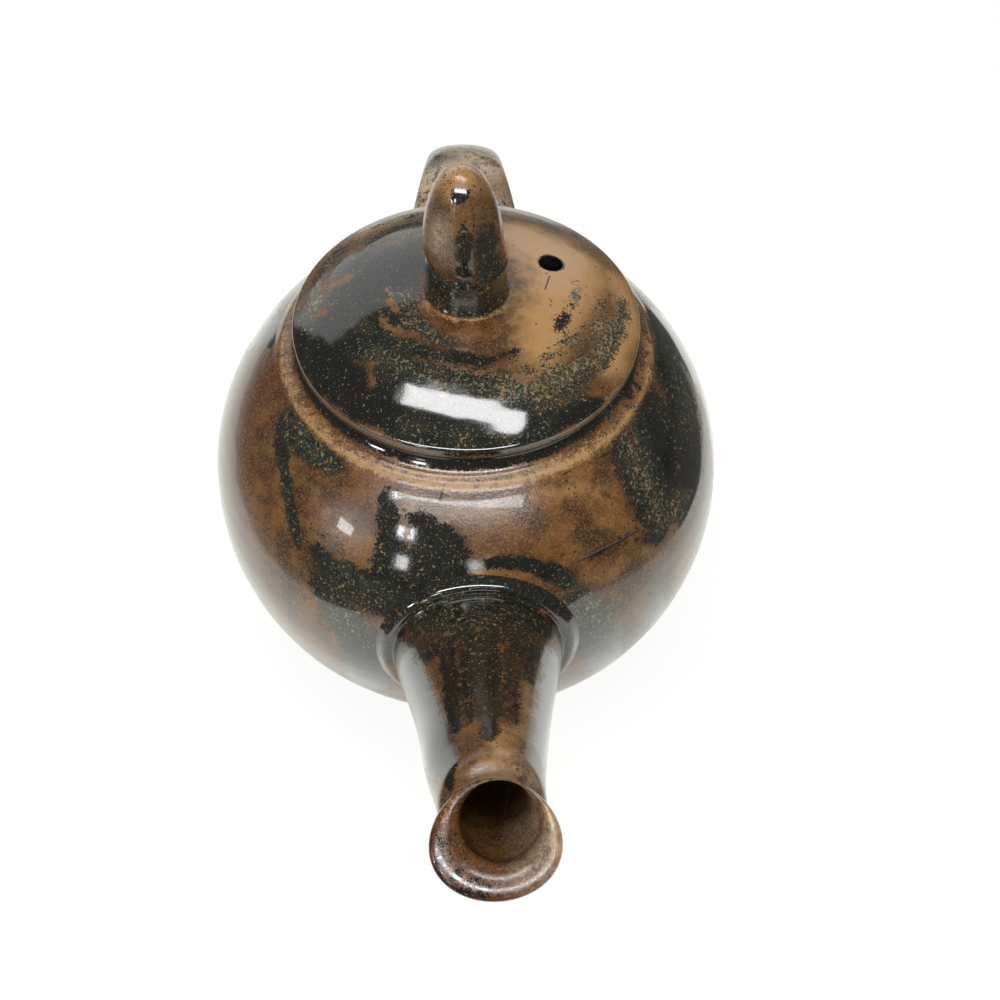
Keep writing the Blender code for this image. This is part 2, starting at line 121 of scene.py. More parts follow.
class TeapotClay(bpy.types.PropertyGroup):
    """Sizes of the clay that a potter would change."""

    body_wall: length("Body wall", "Thickness of the thrown wall", 0.0045)
    floor_thickness: length("Floor", "Thickness of the pot's floor", 0.005)
    neck_top_radius: length("Neck", "Outer radius of the neck under the lid", 0.0366)
    neck_bore_radius: length("Mouth", "Radius of the mouth that the lid's flange drops into", 0.0295)
    lid_edge_height: length("Lid edge", "Height of the lid's upright edge", 0.0030)
    lid_thickness: length("Lid", "Thickness of the lid under the knob", 0.0045)
    flange_wall: length("Flange wall", "Thickness of the ring under the lid", 0.0035)
    steam_hole_radius: length("Steam hole", "Radius of the hole in the lid", 0.0025)
    knob_stem_radius: length("Knob stem", "Radius of the stem under the knob's cap", 0.0086)
    knob_stem_height: length("Knob stem height", "From the lid to the knob's cap", 0.0090)
    welt_height: length("Welt", "How far the welt round the spout's root stands up", 0.0013)
    outlet_radius: length("Outlet", "Radius of the opening behind the spout that holds the strainer", 0.0130)
    hand_wobble: length("Hand wobble", "How far the thrown surfaces stray from true", 0.00016)
    throwing_rings: length("Throwing rings", "Depth of the faint rings that the fingers leave", 0.000008)


class TeapotGlazes(bpy.types.PropertyGroup):
    """Colours of the glazes and the bare clay."""

    black: colour("Black pour", "Glossy black glaze where it lies thick", (18, 17, 15))
    brown: colour("Brown", "Brown glaze under the black", (92, 62, 31))
    dark_brown: colour("Dark brown", "Brown glaze where it lies thick", (54, 35, 20))
    tan: colour("Tan", "Brown glaze where it lies thin", (146, 112, 72))
    rust: colour("Rust", "Iron-red blush in the brown", (70, 38, 20))
    gold: colour("Gold edge", "Dry golden edge where the glaze breaks over clay", (138, 108, 70))
    ash: colour("Ash green", "Grey-green ash specks in the black", (92, 100, 80))
    # Besides dry glaze, this pale colour is painted sheen on the knob's left facet
    pale: colour("Pale bloom", "Dry, matt glaze on the handle, the knob and the lip", (186, 172, 150))
    clay: colour("Bare clay", "Unglazed stoneware", (150, 122, 94))


class TeapotStudio(bpy.types.PropertyGroup):
    """The table and the lamps."""

    overhead: number("Overhead", "Brightness of the long panel overhead", 13.0)
    front: number("Front", "Brightness of the soft panel in front", 20.0)
    card: number("Card", "Brightness of the white card behind", 0.95)
    sheet_white: number("Sheet", "How white the table is drawn where no shadow falls", 1.0)


# Modelling


def active_only(piece):
    bpy.ops.object.select_all(action="DESELECT")
    piece.select_set(True)
    bpy.context.view_layer.objects.active = piece


def name_new(name):
    """Name the primitive that was just added and open it in edit mode with all of it selected."""
    piece = bpy.context.object
    piece.name = name
    piece.data.name = name
    bpy.ops.object.mode_set(mode="EDIT")
    bpy.ops.mesh.select_all(action="SELECT")
    return piece


def close_piece(piece):
    """Weld the seam and the poles of the mesh in edit mode, face it outwards and leave edit mode."""
    bpy.ops.mesh.select_all(action="SELECT")
    bpy.ops.mesh.remove_doubles(threshold=WELD)
    bpy.ops.mesh.normals_make_consistent(inside=False)
    bpy.ops.object.mode_set(mode="OBJECT")
    return piece


def apply_modifier(piece, kind, **settings):
    """Add a modifier to a piece, set it and apply it."""
    active_only(piece)
    bpy.ops.object.modifier_add(type=kind)
    modifier = piece.modifiers[-1]
    for key, value in settings.items():
        setattr(modifier, key, value)
    bpy.ops.object.modifier_apply(modifier=modifier.name)


def thrown(name, outline, turns):
    """Draw half a section point by point and spin it about the upright axis, as on a wheel."""
    bpy.ops.object.select_all(action="DESELECT")
    bpy.ops.mesh.primitive_plane_add(size=BODY_RADIUS)
    piece = name_new(name)
    bpy.ops.mesh.merge(type="CENTER")
    bpy.ops.transform.translate(value=(outline[0][0], 0, outline[0][1]))
    for (radius, height), (next_radius, next_height) in zip(outline, outline[1:]):
        step = (next_radius - radius, 0, next_height - height)
        bpy.ops.mesh.extrude_region_move(TRANSFORM_OT_translate={"value": step})
    bpy.ops.mesh.select_all(action="SELECT")
    bpy.ops.mesh.spin(steps=turns, angle=math.tau, center=(0, 0, 0), axis=(0, 0, 1))
    return close_piece(piece)


def pulled(name, rings, closed):
    """Extrude a ring of points again and again, as a coil is pulled, and smooth the result."""
    bpy.ops.object.select_all(action="DESELECT")
    bpy.ops.mesh.primitive_circle_add(vertices=len(rings[0]), radius=BODY_RADIUS)
    piece = name_new(name)
    builder = bmesh.from_edit_mesh(piece.data)
    for vert, point in zip(builder.verts, rings[0]):
        vert.co = point
    if not closed:
        bpy.ops.mesh.edge_face_add()
    for ring, next_ring in zip(rings, [*rings[1:], rings[0]] if closed else rings[1:]):
        spots = {spot_key(point): index for index, point in enumerate(ring)}
        builder = bmesh.from_edit_mesh(piece.data)
        for edge in builder.edges:
            edge.select_set(all(vert.select for vert in edge.verts))
        bpy.ops.mesh.extrude_edges_move()
        builder = bmesh.from_edit_mesh(piece.data)
        for vert in builder.verts:
            if vert.select:
                vert.co = next_ring[spots[spot_key(vert.co)]]
        bmesh.update_edit_mesh(piece.data)
    if not closed:
        bpy.ops.mesh.edge_face_add()
    close_piece(piece)
    apply_modifier(piece, "SUBSURF", levels=COIL_SMOOTHING, render_levels=COIL_SMOOTHING)
    return piece


def spot_key(point):
    return tuple(round(value / WELD) for value in point)


def cut_out(piece, cutter):
    """Cut what the cutter covers out of the piece and throw the cutter away."""
    apply_modifier(piece, "BOOLEAN", object=cutter, operation="DIFFERENCE", solver="EXACT")
    bpy.data.objects.remove(cutter)


def smooth_line(points, steps):
    """Points along a smooth curve through the given ones."""
    points = [Vector(point) for point in points]
    padded = [points[0] * 2 - points[1], *points, points[-1] * 2 - points[-2]]
    line = []
    for before, start, end, after in zip(padded, padded[1:], padded[2:], padded[3:]):
        for step in range(steps):
            share = step / steps
            line.append(
                start * (2 * share**3 - 3 * share**2 + 1)
                + (end - before) / 2 * (share**3 - 2 * share**2 + share)
                + end * (3 * share**2 - 2 * share**3)
                + (after - start) / 2 * (share**3 - share**2)
            )
    return [*line, points[-1]]


def smooth_outline(points, steps):
    """The same for points of a flat outline."""
    return [tuple(point)[:2] for point in smooth_line([(*point, 0) for point in points], steps)]


def rounded(points, radius, steps=4):
    """An outline whose inner corners are rounded off by the given reach."""
    line = [points[0]]
    for before, corner, after in zip(points, points[1:], points[2:]):
        corner = Vector(corner)
        arms = [Vector(before) - corner, Vector(after) - corner]
        reach = min(radius, arms[0].length / 2, arms[1].length / 2)
        start, end = [corner + arm.normalized() * reach for arm in arms]
        for step in range(steps + 1):
            share = step / steps
            line.append(tuple(start * (1 - share) ** 2 + corner * 2 * share * (1 - share) + end * share**2))
    return [*line, points[-1]]


def dense(points, spacing):
    """The same outline with no two points further apart than the spacing."""
    line = [tuple(points[0])]
    for start, end in zip(points, points[1:]):
        start, end = Vector(start), Vector(end)
        count = max(1, math.ceil((end - start).length / spacing))
        line += [tuple(start.lerp(end, (step + 1) / count)) for step in range(count)]
    return line


def set_by_hand(piece, move):
    """Move each vertex of a finished mesh by what a hand leaves there."""
    for vert in piece.data.vertices:
        vert.co += move(vert.co)


def hand_noise(place, grain):
    return noise.noise(place / grain)


def swell_round(grain, share):
    """A move that swells and shrinks a ring by up to a share of its radius."""
    return lambda place: Vector((place.x, place.y, 0)) * hand_noise(place, grain) * share


def finish_piece(piece, material, body, slot, *nodes, angle=50):
    """Shade, coat and hang a piece on its body, and hide the CAD nodes it takes the place of."""
    active_only(piece)
    bpy.ops.object.shade_smooth_by_angle(angle=math.radians(angle))
    piece.data.materials.clear()
    piece.data.materials.append(material)
    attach(piece, body)
    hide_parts(*nodes)


# The globe, which the pieces on it are fitted to

GLOBE_HALF_HEIGHT = 0.058
GLOBE_MIDDLE = BASE_TOP + GLOBE_HALF_HEIGHT * math.sqrt(1 - (FOOT_RADIUS / BODY_RADIUS) ** 2)
GLOBE_CENTRE = Vector((0, 0, GLOBE_MIDDLE))
GLOBE_SCALE = Vector((1 / BODY_RADIUS, 1 / BODY_RADIUS, 1 / GLOBE_HALF_HEIGHT))


def globe_arc(inset, low, high, rings):
    """Points up the globe's side, set in from its surface, between two heights."""
    half_height = GLOBE_HALF_HEIGHT - inset
    start = math.asin((low - GLOBE_MIDDLE) / half_height)
    end = math.asin((high - GLOBE_MIDDLE) / half_height)
    angles = [start + (end - start) * step / rings for step in range(rings + 1)]
    return [((BODY_RADIUS - inset) * math.cos(a), GLOBE_MIDDLE + half_height * math.sin(a)) for a in angles]


def globe_point(turn, height):
    """A place on the globe: degrees round from the spout toward +X, and millimetres up."""
    rise = (height * MM - GLOBE_MIDDLE) / GLOBE_HALF_HEIGHT
    radius = BODY_RADIUS * math.sqrt(max(0, 1 - rise * rise))
    angle = math.radians(turn)
    return Vector((radius * math.sin(angle), -radius * math.cos(angle), height * MM))


def globe_normal(point):
    offset = point - GLOBE_CENTRE
    return Vector([offset[i] * GLOBE_SCALE[i] ** 2 for i in range(3)]).normalized()


def onto_globe(start, along, lift):
    """Where a line from inside the globe leaves its surface, lifted off it."""
    offset = (start - GLOBE_CENTRE) * GLOBE_SCALE
    way = along * GLOBE_SCALE
    square = way.dot(way)
    half = offset.dot(way)
    rest = offset.dot(offset) - 1
    point = start + along * ((math.sqrt(max(0, half * half - square * rest)) - half) / square)
    return point + globe_normal(point) * lift


# Where the glazes run: strokes of a brush, each its strength, its softness and a list of (place, half width).
# On the globe the places are degrees round and millimetres up, on the lid degrees round and millimetres out,
# on the spout the share of its length and degrees round from its top, and on the handle millimetres
# right, back and up. Windows are left open in the black.

GLOBE_BLACK = [
    (1, 1.6, [(-66, 97, 1.4), (-63, 94, 3.4), (-60, 91.5, 2.8)]),
    (1, 1.6, [(-62, 95, 3.4), (-54, 95, 4.0), (-47, 95, 3.2), (-41, 95.5, 2.2)]),
    (1, 1.4, [(-60, 91, 2.2), (-54, 88, 1.7), (-49, 84.5, 1.6), (-45, 80.5, 1.9), (-43.5, 78.5, 1.3)]),
    (1, 1.8, [(-24, 94, 2.0), (-22, 90, 2.8), (-20, 85, 3.8), (-19, 79, 5.5), (-16, 75, 6)]),
    (1, 1.8, [(-14, 91.5, 2.6), (-11, 87.9, 4.6), (-10, 82, 6), (-12, 76, 6)]),
    (1, 1.8, [(-8, 90, 2.2), (-5, 86.5, 3.2), (-4, 83.5, 2.4)]),
    (1, 1.8, [(-38, 79.5, 2.2), (-33, 77, 3.8), (-26, 76, 5), (-19, 76, 5.5)]),
    (1, 2.4, [(-36, 73, 3), (-30, 68, 5), (-25, 61, 6), (-24, 50, 6), (-27, 38, 4)]),
    (1, 1.2, [(-7, 83.6, 0.8), (1, 85, 0.9), (7, 84.8, 1.4), (12, 83.6, 1.8), (17, 81, 2.2), (20, 78, 2.2)]),
    (1, 1.8, [(62, 98, 3.6), (58, 94.5, 5), (56, 89, 5.5), (54, 84, 5), (50, 79, 3.6), (46, 75.5, 2.2)]),
    (0.80, 2.2, [(50, 98, 3.4), (46, 94, 4.2), (45, 89, 4.2), (45, 83, 3.8), (44, 77, 2.6)]),
    (1, 2.0, [(68, 98, 3), (65, 93, 4), (62, 88, 4)]),
    (1, 2.4, [(84, 93, 7), (78, 89, 7.5), (70, 84, 7), (63, 78, 6), (56, 75, 4)]),
    (1, 2.6, [(96, 97, 6), (100, 87, 9), (97, 75, 10), (86, 66, 8), (78, 54, 6), (80, 42, 4)]),
    (1, 2.4, [(22, 72, 4), (27, 57, 5.5), (31, 44, 4.4), (32, 33, 3)]),
    (0.8, 2.2, [(44, 67, 3), (42, 56, 4), (46, 46, 3)]),
    (1, 0.8, [(24, 80.6, 0.35), (31, 81.3, 0.4), (40.5, 81.0, 0.35)]),
    (1, 2.6, [(140, 96, 4), (146, 86, 6), (150, 73, 6.5), (147, 60, 5), (149, 48, 3), (148, 41, 2)]),
    (1, 2.6, [(-98, 95, 3), (-108, 88, 5), (-118, 80, 6.5), (-120, 68, 5), (-117, 58, 3)]),
    (1, 2.8, [(-150, 97, 5), (-146, 88, 6.5), (-140, 76, 7), (-143, 63, 6), (-138, 50, 4.5), (-140, 38, 3)]),
    (1, 2.4, [(-172, 74, 3.5), (-178, 62, 5), (176, 50, 5), (178, 38, 3.5), (174, 28, 2.2)]),
    (0.9, 2.6, [(-82, 62, 3), (-76, 52, 4.5), (-80, 40, 4.5), (-77, 30, 3)]),
    (0.9, 2.6, [(112, 52, 3), (118, 42, 4), (114, 30, 3.5)]),
    (0.9, 2.6, [(-60, 48, 2.5), (-52, 38, 3.5), (-56, 27, 3)]),
    (0.8, 2.6, [(58, 46, 2.5), (62, 36, 3.5), (56, 27, 2.5)]),
    (0.36, 4, [(-50, 90, 3), (-40, 86, 3), (-34, 82, 3)]),
    (0.34, 6, [(20, 84, 4), (40, 78, 5), (52, 73, 4)]),
]
GLOBE_WINDOWS = [
    (0.45, 2.0, [(55, 80, 1.6), (59, 76, 2.2)]),
    (0.9, 2.0, [(72, 99.5, 1.6), (80, 98.5, 2.0), (88, 99.5, 1.2)]),
]
GLOBE_TAN = [
    (0.5, 4, [(12, 96, 2), (24, 94, 4), (36, 91, 4)]),
    (0.35, 5, [(28, 88, 5), (38, 85, 5)]),
    (0.45, 4, [(30, 76, 3), (40, 75, 4), (48, 73, 3)]),
    (0.5, 3, [(44, 84, 3), (44, 78, 3)]),
    (0.7, 8, [(-150, 60, 6), (-160, 48, 8)]),
    (0.7, 8, [(110, 75, 5), (128, 66, 9)]),
    (0.5, 5, [(-46, 90, 3), (-38, 87, 4)]),
    (0.5, 3, [(72, 97, 3), (86, 97, 3)]),
]
GLOBE_RUST = [
    (1, 9, [(-84, 92, 8), (-80, 82, 9), (-70, 76, 6)]),
    (0.7, 8, [(-95, 60, 8), (-60, 66, 8)]),
    (0.8, 8, [(165, 88, 6), (170, 70, 8)]),
    (0.5, 6, [(-12, 95.5, 4), (6, 90, 5)]),
]
GLOBE_SPECKS = [
    (0.62, 3, [(-66, 95, 4), (-54, 95, 4), (-42, 95, 3)]),
    (0.5, 3, [(-56, 88, 2.5), (-46, 80, 2.5)]),
    (0.45, 4, [(-26, 92, 3), (-32, 77, 5), (-22, 76, 5)]),
    (0.3, 4, [(-20, 84, 6), (-10, 86, 6)]),
    (0.9, 3, [(52, 97, 4), (48, 92, 4), (48, 86, 4), (48, 79, 4), (54, 76, 4)]),
    # Partly real ash specks and partly painted sheen: denser specks brighten the right side, standing in for
    # a reflection of bright surroundings
    (0.55, 6, [(75, 88, 8), (95, 84, 10)]),
    (0.7, 5, [(22, 74, 5), (30, 60, 6), (42, 60, 6), (-30, 68, 6)]),
    (0.7, 4, [(144, 94, 4), (150, 80, 4), (-143, 80, 4), (-118, 84, 5)]),
    (0.5, 6, [(-100, 90, 6), (120, 90, 8), (-160, 50, 9), (110, 44, 9)]),
]

LID_BLACK = [
    (1, 2.0, [(-113, 29, 3.4), (-120, 24.5, 4.8), (-124, 18.6, 5.4), (-124, 13, 4)]),
    (1, 2.0, [(-94, 24, 4.5), (-100, 20, 6), (-100, 14, 4.5), (-80, 12.5, 3)]),
    (1, 2.0, [(-92, 27, 4), (-78, 24, 6), (-66, 22, 5.6), (-50, 16.5, 2.6)]),
    (1, 2.0, [(-76, 31, 6), (-64, 27.5, 5), (-56, 24.5, 3.6), (-42, 22.5, 2.6)]),
    (1, 2.0, [(-90, 35.5, 2.4), (-74, 34, 5), (-58, 33.2, 5.2), (-40, 33.2, 4.6), (-18, 33.8, 4.4)]),
    (1, 1.8, [
        (-25, 34, 4.4), (-8, 34.8, 4.4), (8, 35.2, 4),
        (23, 35.6, 3.2), (36, 35.8, 2.4), (44, 36.6, 1.2),
    ]),
    (1, 1.8, [(-40, 27.5, 3.4), (-18, 28.5, 4), (2, 30, 4), (18, 32, 3.2)]),
    (0.78, 2.2, [(-42, 23.6, 2.8), (-14, 24.0, 2.8), (3, 25.0, 2.8), (20, 27.4, 2.8)]),
    (0.66, 2.4, [(22, 29.6, 4), (42, 30.2, 4.4), (58, 31.2, 4), (76, 32.4, 3.4), (92, 33.6, 2.2)]),
    (0.52, 2.6, [(16, 24.2, 3), (36, 25.6, 3.6), (56, 26.6, 3.8), (74, 28, 3.4), (92, 31, 2.4)]),
    (0.85, 1.8, [(-50, 21.4, 2.4), (-30, 20.0, 2.6), (-10, 19.4, 2.2), (6, 20.4, 1.6)]),
    (0.62, 1.4, [(10, 20.6, 1.7), (27, 20.2, 1.9)]),
    (0.85, 1.8, [(-92, 12.6, 2), (-66, 13.6, 2.2), (-44, 14.6, 2.2), (-24, 15.6, 2), (-12, 16.6, 1.2)]),
    (0.55, 1.8, [(97, 24.2, 1.6), (84, 23, 2.0), (72, 22.2, 2.0), (58, 22, 1.8)]),
    (0.66, 2.0, [(-128, 34.2, 2.4), (-104, 34, 2.8), (-90, 31, 2.6)]),
    (0.85, 2.2, [(-146, 18, 4), (-162, 15, 3), (176, 16, 2)]),
    (0.72, 2.4, [(-136, 27, 4), (-152, 24, 4), (-170, 23, 3)]),
    (0.42, 3.0, [(-140, 33, 3), (-165, 31, 4), (168, 31, 3)]),
    (0.42, 2.4, [(152, 33, 2), (140, 34.5, 2.4), (128, 35, 1.4)]),
]
LID_WINDOWS = [
    (0.7, 1.0, [(-92, 16.6, 0.8), (-86, 15.6, 0.9)]),
    (0.80, 1.0, [(-77, 18.6, 0.4), (-62, 19.6, 0.9), (-50, 18.6, 1.5), (-42, 17.6, 1.0)]),
    (0.72, 1.2, [(-47, 27.8, 1.2), (-42, 30.0, 1.4)]),
    (0.58, 1.6, [(-86, 11.0, 0.8), (-60, 11.2, 0.9), (-30, 11.4, 1.0)]),
]
LID_TAN = [
    (1, 7, [(40, 22, 6), (80, 20, 9), (110, 24, 11), (140, 22, 9)]),
    (0.9, 4, [(60, 33, 5), (84, 35, 4), (104, 34, 5)]),
    (0.7, 4, [(-138, 33, 4), (-158, 32, 4), (178, 32, 5)]),
    (0.8, 1.5, [(-98, 17.2, 1), (-84, 15.9, 1)]),
]
LID_RUST = [
    (0.42, 3.5, [(-14, 13, 2), (4, 15.5, 3.0), (22, 14.8, 2.6)]),
    (0.3, 2, [(-50, 19.4, 1.6), (-38, 18.2, 1.8)]),
    (0.35, 6, [(100, 17, 5), (150, 14, 5)]),
]
LID_SPECKS = [
    (1, 3, [(-90, 32, 3), (-104, 33, 3.4), (-122, 33, 4), (-136, 31, 4)]),
    (1, 2.4, [(-80, 13, 2), (-50, 15, 2.4), (-20, 15.6, 2.4)]),
    (0.7, 2.6, [(-56, 26, 2.2), (-36, 25, 3), (-14, 25, 3.2), (4, 26, 3)]),
    (1, 3.0, [(14, 27, 4), (34, 28, 5.5), (56, 29, 6), (78, 31, 5), (92, 33, 3)]),
    (0.5, 3.0, [(-70, 24, 2), (-45, 21, 2), (-20, 20, 2)]),
    (0.4, 2.4, [(-24, 35, 3), (0, 35.6, 3), (24, 36, 3)]),
    (0.5, 3, [(-140, 24, 4), (-160, 22, 4)]),
]

SPOUT_BLACK = [
    (1, 1.8, [(-0.08, -90, 5), (-0.06, -45, 5.5), (-0.05, 0, 5.5), (-0.06, 45, 5.5), (-0.08, 90, 5)]),
    (0.9, 2.2, [(0.02, -30, 6), (0.06, 5, 8), (0.04, 40, 7)]),
    (0.62, 2.6, [(0.04, -60, 6), (0.14, -45, 7), (0.20, -10, 7), (0.18, 30, 8), (0.20, 60, 6)]),
    (0.70, 2.2, [(0.12, 25, 5), (0.24, 35, 4.4), (0.34, 42, 3)]),
    (1, 1.4, [(0.20, 0, 3.6), (0.34, 1, 3.6), (0.50, 2, 3.2), (0.60, 2, 2.4)]),
    (1, 1.2, [(0.26, -28, 2.0), (0.46, -32, 1.9), (0.62, -34, 1.5)]),
    (0.66, 1.8, [(0.28, -14, 2.4), (0.44, -16, 2.6), (0.60, -18, 1.8)]),
    (0.60, 1.6, [(0.30, 24, 3), (0.46, 24, 3), (0.62, 28, 2)]),
    (1, 0.9, [(0.64, 1, 1.4), (0.70, 0, 1.8), (0.735, 0, 1.2)]),
    (0.95, 1.6, [(0.12, -76, 4.4), (0.30, -74, 5), (0.5, -70, 5), (0.68, -60, 4), (0.80, -50, 2.4)]),
    (0.85, 1.8, [(0.14, 80, 4.4), (0.30, 76, 4.6), (0.50, 72, 4), (0.66, 66, 2.6)]),
    (0.9, 2.2, [(0.1, -110, 4), (0.3, -120, 3), (0.45, -125, 2)]),
    (0.9, 2.2, [(0.1, 120, 4), (0.3, 115, 3.5), (0.5, 120, 2)]),
    (0.9, 2.2, [(0.05, 180, 5), (0.3, 178, 4), (0.55, 182, 2.5)]),
    (0.9, 0.8, [(0.80, -46, 1.6), (0.88, -56, 1.3), (0.94, -66, 1.0)]),
    (1, 0.8, [(0.97, -84, 1.1), (1.0, -96, 0.8)]),
    (0.8, 0.8, [(1.0, -118, 1.0), (1.0, -128, 1.2)]),
    (1, 0.8, [(1.0, -146, 1.6), (0.98, -162, 1.6)]),
    (0.46, 1.6, [(0.95, -90, 4), (1.0, -130, 4), (1.0, -170, 4), (1.0, 170, 2)]),
]
SPOUT_WINDOWS = [
    (0.5, 1.6, [(0.03, -62, 1.6), (0.10, -54, 2.0), (0.14, -44, 1.6)]),
    (0.6, 1.4, [(-0.01, 44, 1.2), (0.03, 56, 1.4)]),
    (0.4, 1.6, [(0.13, 8, 2.0), (0.17, 0, 2.0)]),
]
SPOUT_TAN = [
    (0.7, 3, [(0.36, 40, 2.5), (0.6, 36, 2.5), (0.8, 10, 4)]),
    (0.6, 3, [(0.9, 0, 4), (0.95, 60, 3)]),
    (0.9, 2, [(0.97, 40, 2), (1.0, 80, 2.4), (1.0, 115, 2)]),
]
SPOUT_RUST = [
    (0.9, 2, [(0.02, -62, 1.6), (0.10, -54, 2.2)]),
    (1, 3, [(0.97, -60, 3), (1.0, -100, 5), (1.0, -140, 6), (1.0, -170, 6), (1.0, 160, 4), (1.0, 130, 3)]),
    (0.5, 4, [(0.3, -44, 3), (0.5, -44, 3)]),
]
SPOUT_SPECKS = [
    (0.42, 4, [(0.05, -40, 6), (0.1, 0, 8), (0.1, 40, 6)]),
    (0.4, 3, [(0.2, 0, 6), (0.35, 10, 5)]),
    (0.25, 3, [(0.5, 0, 5), (0.65, 0, 4)]),
]

HANDLE_BLACK = [
    (0.62, 3.0, [(-7, 56, 92, 3), (-6, 66, 94, 4), (-4, 76, 90, 3)]),
    (0.52, 3.4, [(6, 60, 93, 3), (5, 72, 93, 3), (0, 84, 86, 3)]),
    (0.9, 3.0, [(3, 88, 78, 3), (4, 96, 68, 4), (3, 96, 58, 4), (2, 90, 48, 3)]),
    (0.7, 2.8, [(-5, 92, 62, 2), (-6, 88, 50, 2.5), (-6, 78, 41, 2)]),
    (0.7, 3.0, [(6, 70, 35, 3), (8, 60, 29, 4)]),
]


def held(values):
    """The values, kept between 0 and 1."""
    return np.clip(values, 0, 1)


def near_to(values, middle, reach):
    """1 where the values are at the middle, fading to 0 at its reach."""
    return held(1 - np.abs(values - middle) / reach)


def brushed(places, strokes, to_point):
    """How strongly each place is covered by the strokes: 0 is none, 0.5 a stroke's edge and 1 its middle."""
    cover = np.zeros(len(places))
    for strength, softness, marks in strokes:
        ends = np.array([to_point(*mark[:-1]) for mark in marks])
        widths = np.array([mark[-1] for mark in marks]) * MM
        depth = np.full(len(places), -1.0)
        for start, end, wide, next_wide in zip(ends, ends[1:], widths, widths[1:]):
            way = end - start
            share = held((places - start) @ way / (way @ way))
            away = np.linalg.norm(places - start - share[:, None] * way, axis=1)
            depth = np.maximum(depth, wide + (next_wide - wide) * share - away)
        cover = np.maximum(cover, strength * held(0.5 + depth / (2 * softness * MM)))
    return cover


def brushed_glazes(places, to_point, windows, **strokes):
    """The cover of each glaze by name, with the windows left open in the black."""
    covers = {name: brushed(places, marks, to_point) for name, marks in strokes.items()}
    covers["black"] = np.minimum(covers["black"], 1 - brushed(places, windows, to_point))
    return covers


def paint(piece, covers):
    """Keep each glaze's cover as an attribute of the mesh."""
    for name, values in covers.items():
        attribute = piece.data.attributes.new(name, "FLOAT", "POINT")
        attribute.data.foreach_set("value", np.ascontiguousarray(values, np.float32))


def places_of(piece):
    return np.array([vert.co for vert in piece.data.vertices])


def noise_at(places, grain):
    return np.array([hand_noise(Vector(place), grain) for place in places])


# Materials


class Reading:
    """A shader socket whose value is added, multiplied and compared like a number."""

    def __init__(self, board, socket):
        self.board = board
        self.socket = socket

    def math(self, operation, *values):
        return self.board.add("ShaderNodeMath", {"operation": operation}, dict(enumerate(values)))

    def __add__(self, other):
        return self.math("ADD", self, other)

    def __sub__(self, other):
        return self.math("SUBTRACT", self, other)

    def __rsub__(self, other):
        return self.math("SUBTRACT", other, self)

    def __mul__(self, other):
        return self.math("MULTIPLY", self, other)

    def __truediv__(self, other):
        return self.math("DIVIDE", self, other)

    def __lt__(self, other):
        return self.math("LESS_THAN", self, other)

    def __gt__(self, other):
        return self.math("GREATER_THAN", self, other)

    __radd__ = __add__
    __rmul__ = __mul__

    def least(self, other):
        return self.math("MINIMUM", self, other)

    def most(self, other):
        return self.math("MAXIMUM", self, other)

    def over(self, low, high):
        """0 at low and below, 1 at high and above, and smooth between them."""
        settings = {"interpolation_type": "SMOOTHSTEP"}
        inputs = {"Value": self, "From Min": low, "From Max": high, "To Min": 0, "To Max": 1}
        return self.board.add("ShaderNodeMapRange", settings, inputs)


